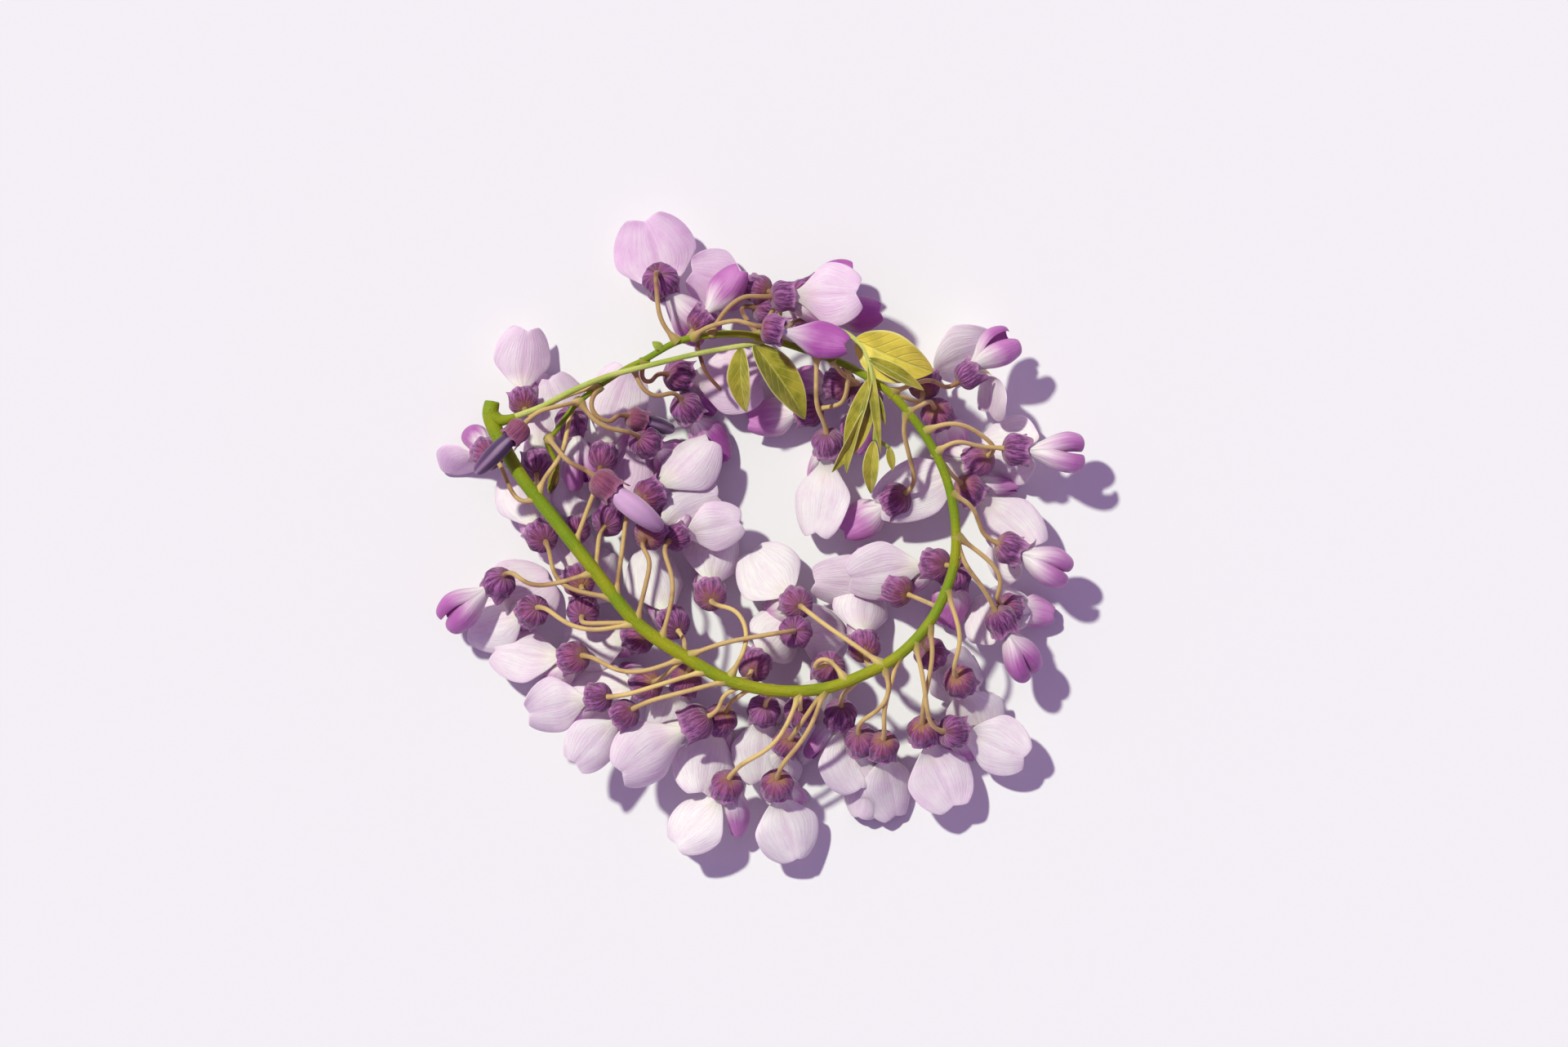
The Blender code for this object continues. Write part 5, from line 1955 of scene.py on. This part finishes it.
@dataclass
class Stalks:
    """The flower stalks, which take the ways that the stem's own solid gives them."""

    finishes: Finishes
    approach: float = 4.0
    gap: float = 0.3
    solid_steps: int = 6
    radius: float = 0.58
    sides: int = 8
    evenings: int = 12
    deep_enough: float = -0.2
    root_flare: float = 1.5
    cup_flare: float = 0.35
    sunk: float = 0.35

    def way(
        self,
        via: Sequence[tuple[float, float]],
        joint: Vector,
        forward: Vector,
        root: Vector,
        arch: float,
        sway: float,
    ) -> list[Vector]:
        """Draws one way that a stalk may take from the stem to its flower.

        Args:
            via: The pixels that it passes over, from the flower to the stem.
            joint: Where it meets the flower.
            forward: The way that the flower points.
            root: Where it leaves the stem.
            arch: How far it arches up.
            sway: How far it sways aside.

        Returns:
            The points that the solid's stalk has.
        """
        end = joint - forward * self.gap
        approach = joint - forward * self.approach
        stops = [at(px, py) for px, py in reversed(via)] or [(root + approach) / 2]
        plan = [Vector((point.x, point.y)) for point in (root, *stops, approach)]
        lengths = [(after - before).length for before, after in zip(plan, plan[1:])]
        across = (plan[-1] - plan[0]).orthogonal().normalized()
        gone, knots = 0.0, [root]
        for stop, length in zip(stops, lengths):
            gone += length
            share = gone / sum(lengths)
            hump = math.sin(math.pi * share)
            height = root.z + (approach.z - root.z) * share + arch * hump
            aside = across * (sway * hump)
            knots.append(Vector((stop.x + aside.x, stop.y + aside.y, height)))
        return evenly(smooth_path([*knots, approach, end], 6), self.solid_steps)

    def found(
        self, bloom: Bloom, joint: Vector, forward: Vector, root: Vector, tree: BVHTree
    ) -> list[Vector]:
        """Finds the way that the solid's stalk takes.

        Args:
            bloom: The flower.
            joint: Where the stalk meets it.
            forward: The way that it points.
            root: Where the stalk leaves the stem.
            tree: The stem's own solid.

        Returns:
            The stalk's points.
        """
        best, path = math.inf, []
        for via in dict.fromkeys((bloom.via, ())):
            for sway, arch in itertools.product(SWAYS, ARCHES):
                points = self.way(via, joint, forward, root, arch, sway)
                apart = max(self.depth(point, tree) for point in points[1:-1])
                if apart < best:
                    best, path = apart, points
                if best < self.deep_enough:
                    return path
        LOG.warning("the stalk of %s is %.2f mm from its solid", bloom.node, best)
        return path

    def depth(self, point: Vector, tree: BVHTree) -> float:
        """Measures how far a point is outside the stem's solid, and less than nought inside it."""
        nearest, normal, _, distance = tree.find_nearest(point)
        return distance if (point - nearest).dot(normal) > 0 else -distance

    def build(self, ends: Sequence[tuple[Bloom, Vector, Vector]], roots: Sequence[Vector]) -> Piece:
        """Builds every stalk.

        Args:
            ends: Each flower with the place and heading of its stalk's end.
            roots: The points of the stem that a stalk may leave.

        Returns:
            The finished piece.
        """
        tree = solid_tree("stem")
        pieces = []
        for number, (bloom, joint, forward) in enumerate(ends):
            there = at(*bloom.root)
            root = min(roots, key=lambda point: (point.xy - there.xy).length)
            path = self.found(bloom, joint, forward, root, tree)
            path = self.relaxed(smooth_path([*path[:-1], joint + forward * self.sunk], 4))
            radii = [self.swell(step / (len(path) - 1)) for step in range(len(path))]
            brown = random.Random(STALK_SEED + number).uniform(-0.2, 0.25) + bloom.region.value.browning
            coat = Coat(self.finishes.stalk, (max(0.0, brown), 0.0, 0.0))
            pieces.append(round_tube(f"stalk_{number}", path, radii, self.sides, coat))
        return complete(join(pieces, "flower_stalks"), "stem")

    def relaxed(self, path: list[Vector]) -> list[Vector]:
        """Evens out the small kinks of a stalk's way.

        Args:
            path: The stalk's points.

        Returns:
            The evened points.
        """
        for _ in range(self.evenings):
            middles = [
                (before + here * 2 + after) / 4 for before, here, after in zip(path, path[1:], path[2:])
            ]
            path = [path[0], *middles[:-1], path[-2], path[-1]]
        return path

    def swell(self, share: float) -> float:
        """Gives the stalk's radius at a share of its length: wider at its root and under its flower."""
        flare = self.root_flare * (1 - ease(share, 0.0, 0.15)) + self.cup_flare * ease(share, 0.9, 1.0)
        return self.radius * (1 + flare)


@dataclass(frozen=True)
class Leaflet:
    """One leaflet from base to tip, pixel and height, folded up along its middle and rolled, in degrees."""

    base: tuple[float, float, float]
    tip: tuple[float, float, float]
    half_width: float
    fold: float = 25.0
    roll: float = 0.0
    bow: float = 1.5

    def point(self, u: float, v: float) -> Vector:
        """Finds a point of the leaflet.

        Args:
            u: The place from base to tip.
            v: The place from edge to edge.

        Returns:
            The point.
        """
        base, tip = at(*self.base), at(*self.tip)
        along = (tip - base).normalized()
        side = Vector((0, 0, 1)).cross(along).normalized()
        turn = Matrix.Rotation(math.radians(self.roll), 3, along)
        side, upward = turn @ side, turn @ along.cross(side)
        fold = math.radians(self.fold)
        width = 0.3 * (1 - u) + self.half_width * math.sin(math.pi * u**0.85) ** 0.8
        bowed = self.bow * math.sin(math.pi * u)
        crease = math.sqrt(v * v + 0.012) - 0.11
        wave = 0.06 * width * math.sin(11.0 * u + self.half_width) * v * v
        lifted = crease * width * math.sin(fold) + bowed + wave
        return base.lerp(tip, u) + side * (v * width * math.cos(fold)) + upward * lifted


# The leaf's stalk, and the thinner one that carries its last leaflets: pixel, height and radius.
LEAF_STALK = (
    (618, 515, 26.4, 1.1),
    (634, 510, 26.8, 0.85),
    (665, 498, 27.0, 0.75),
    (700, 480, 26.9, 0.75),
    (740, 463, 26.6, 0.75),
    (780, 452, 26.5, 0.75),
    (820, 442, 26.5, 0.7),
    (858, 433, 25.3, 0.7),
    (890, 427, 24.0, 0.7),
    (920, 422, 23.0, 0.7),
    (950, 415, 22.8, 0.65),
    (985, 406, 24.0, 0.65),
    (1020, 403, 26.2, 0.6),
    (1045, 415, 28.0, 0.6),
    (1062, 440, 29.3, 0.6),
    (1068, 466, 29.8, 0.55),
    (1072, 500, 28.8, 0.5),
    (1070, 541, 27.2, 0.5),
)
SIDE_STALK = ((1070, 536, 27.4, 0.5), (1080, 543, 27.0, 0.5), (1088, 548, 26.6, 0.5))

LEAFLETS = (
    Leaflet((908, 425, 23.5), (914, 505, 18.0), 3.4, 30, 25),
    Leaflet((922, 421, 23.0), (986, 514, 17.5), 5.0, 30, -20),
    Leaflet((1046, 416, 28.1), (1143, 456, 27.5), 6.4, 15, 15, 2.5),
    Leaflet((1062, 440, 29.3), (1131, 479, 29.3), 2.2, 40, -10),
    Leaflet((1067, 462, 29.7), (1036, 580, 24.5), 2.6, 35, 30),
    Leaflet((1070, 486, 29.2), (1018, 579, 23.5), 2.6, 35, -25),
    Leaflet((1064, 444, 29.5), (1078, 556, 28.6), 1.1, 20, 0, 1.0),
    Leaflet((1070, 540, 27.2), (1066, 605, 23.5), 2.3, 35, 10),
    Leaflet((1071, 480, 29.3), (1084, 521, 28.0), 1.0, 20, 10, 0.5),
    Leaflet((1088, 548, 26.6), (1093, 577, 25.2), 1.0, 20, 0, 0.5),
)


@dataclass
class YoungLeaf:
    """The young compound leaf: its stalk, the thin side stalk and its folded, silky leaflets."""

    finishes: Finishes
    thickness: float = 0.3
    rows: int = 20
    columns: int = 10
    wide: tuple[float, float] = (5.2, 6.4)

    def build(self) -> Piece:
        """Builds the leaf.

        Returns:
            The finished piece.
        """
        blades = []
        for number, leaflet in enumerate(LEAFLETS):
            draws = random.Random(LEAFLET_SEED + number)
            bright = ease(leaflet.half_width, *self.wide) + 0.35 * draws.random()
            coat = Coat(self.finishes.leaflet, (min(1.0, bright), 0.0, draws.random()))
            blades.append(sheet(f"leaflet_{number}", leaflet.point, self.rows, self.columns, coat))
        blade = join(blades, "leaflets")
        modify(blade, "SOLIDIFY", thickness=self.thickness, offset=0.0)
        green = Coat(self.finishes.leaf_stalk)
        stalks = [
            stem_tube("leaf_stalk", LEAF_STALK, 6, 10, green),
            stem_tube("side_stalk", SIDE_STALK, 4, 10, green),
        ]
        piece = join([blade, *stalks], "young_leaf")
        soften(piece)
        return complete(piece, "leaf", "leaf")


@dataclass(frozen=True)
class Studio:
    """The plain pale floor, the light and the camera, which looks straight down."""

    floor_size: float = 4.0
    floor_colour: Colour = (0.93, 0.925, 0.94)
    floor_roughness: float = 0.9
    floor_gloss: float = 0.1
    frame_width: float = 0.384
    camera_height: float = 2.4
    camera_reach: float = 20.0
    sensor: float = 36.0
    focus_height: float = 0.018
    sun_direction: Triple = (0.50, -0.51, -1.0)
    sun_energy: float = 3.25
    sun_angle: float = 3.0
    sun_colour: Triple = (0.93, 1.0, 0.82)
    sky: Colour = (0.846, 0.708, 0.950)
    sky_strength: float = 0.42

    def build(self) -> None:
        """Sets up the floor, the light and the camera."""
        self.floor()
        self.light()
        self.camera()

    def floor(self) -> None:
        """Lays the floor under the wreath."""
        select()
        bpy.ops.mesh.primitive_plane_add(size=self.floor_size, location=(0.0, 0.0, 0.0))
        floor = bpy.context.object
        floor.name = "floor"
        recipe = Recipe("floor", self.floor_colour, self.floor_roughness)
        recipe.shader.inputs["Specular IOR Level"].default_value = self.floor_gloss
        floor.data.materials.append(recipe.material)

    def light(self) -> None:
        """Sets one soft key light at the upper left and an even pale sky."""
        sun = bpy.data.lights.new("key", "SUN")
        sun.energy = self.sun_energy
        sun.angle = math.radians(self.sun_angle)
        sun.color = self.sun_colour
        key = bpy.data.objects.new("key", sun)
        key.rotation_euler = Vector(self.sun_direction).to_track_quat("-Z", "Y").to_euler()
        bpy.context.scene.collection.objects.link(key)
        world = bpy.data.worlds.new("sky")
        world.use_nodes = True
        background = world.node_tree.nodes["Background"]
        background.inputs["Color"].default_value = linear(self.sky)
        background.inputs["Strength"].default_value = self.sky_strength
        bpy.context.scene.world = world
        bpy.context.scene.view_settings.view_transform = "Standard"

    def camera(self) -> None:
        """Sets the camera over the middle of the photograph."""
        middle = at(*MIDDLE_PX) * MM
        data = bpy.data.cameras.new("camera")
        data.sensor_width = self.sensor
        data.lens = self.sensor * (self.camera_height - self.focus_height) / self.frame_width
        data.clip_end = self.camera_reach
        camera = bpy.data.objects.new("camera", data)
        camera.location = (middle.x, middle.y, self.camera_height)
        bpy.context.scene.collection.objects.link(camera)
        bpy.context.scene.camera = camera


class Wreath:
    """The whole wreath."""

    def __init__(self) -> None:
        """Makes the materials and the shared parts."""
        self.finishes = Finishes()
        self.shape = FlowerShape()
        self.cup = Cup(self.shape, self.finishes.cup)

    def build(self) -> None:
        """Builds every piece."""
        master = self.cup.master()
        ends = []
        for node in dict.fromkeys(bloom.node for bloom in BLOOMS):
            group = FlowerGroup(node, self.shape)
            group.build(self.cup, master, self.finishes)
            ends += group.ends
        bpy.data.objects.remove(master)
        stem = FlowerStem(self.finishes)
        stem.build()
        Stalks(self.finishes).build(ends, stem.roots())
        YoungLeaf(self.finishes).build()


def main() -> None:
    """Builds the wreath and its studio."""
    logging.basicConfig(level=logging.INFO, format="%(name)s: %(message)s")
    Wreath().build()
    Studio().build()


if __name__ == "__main__":
    main()
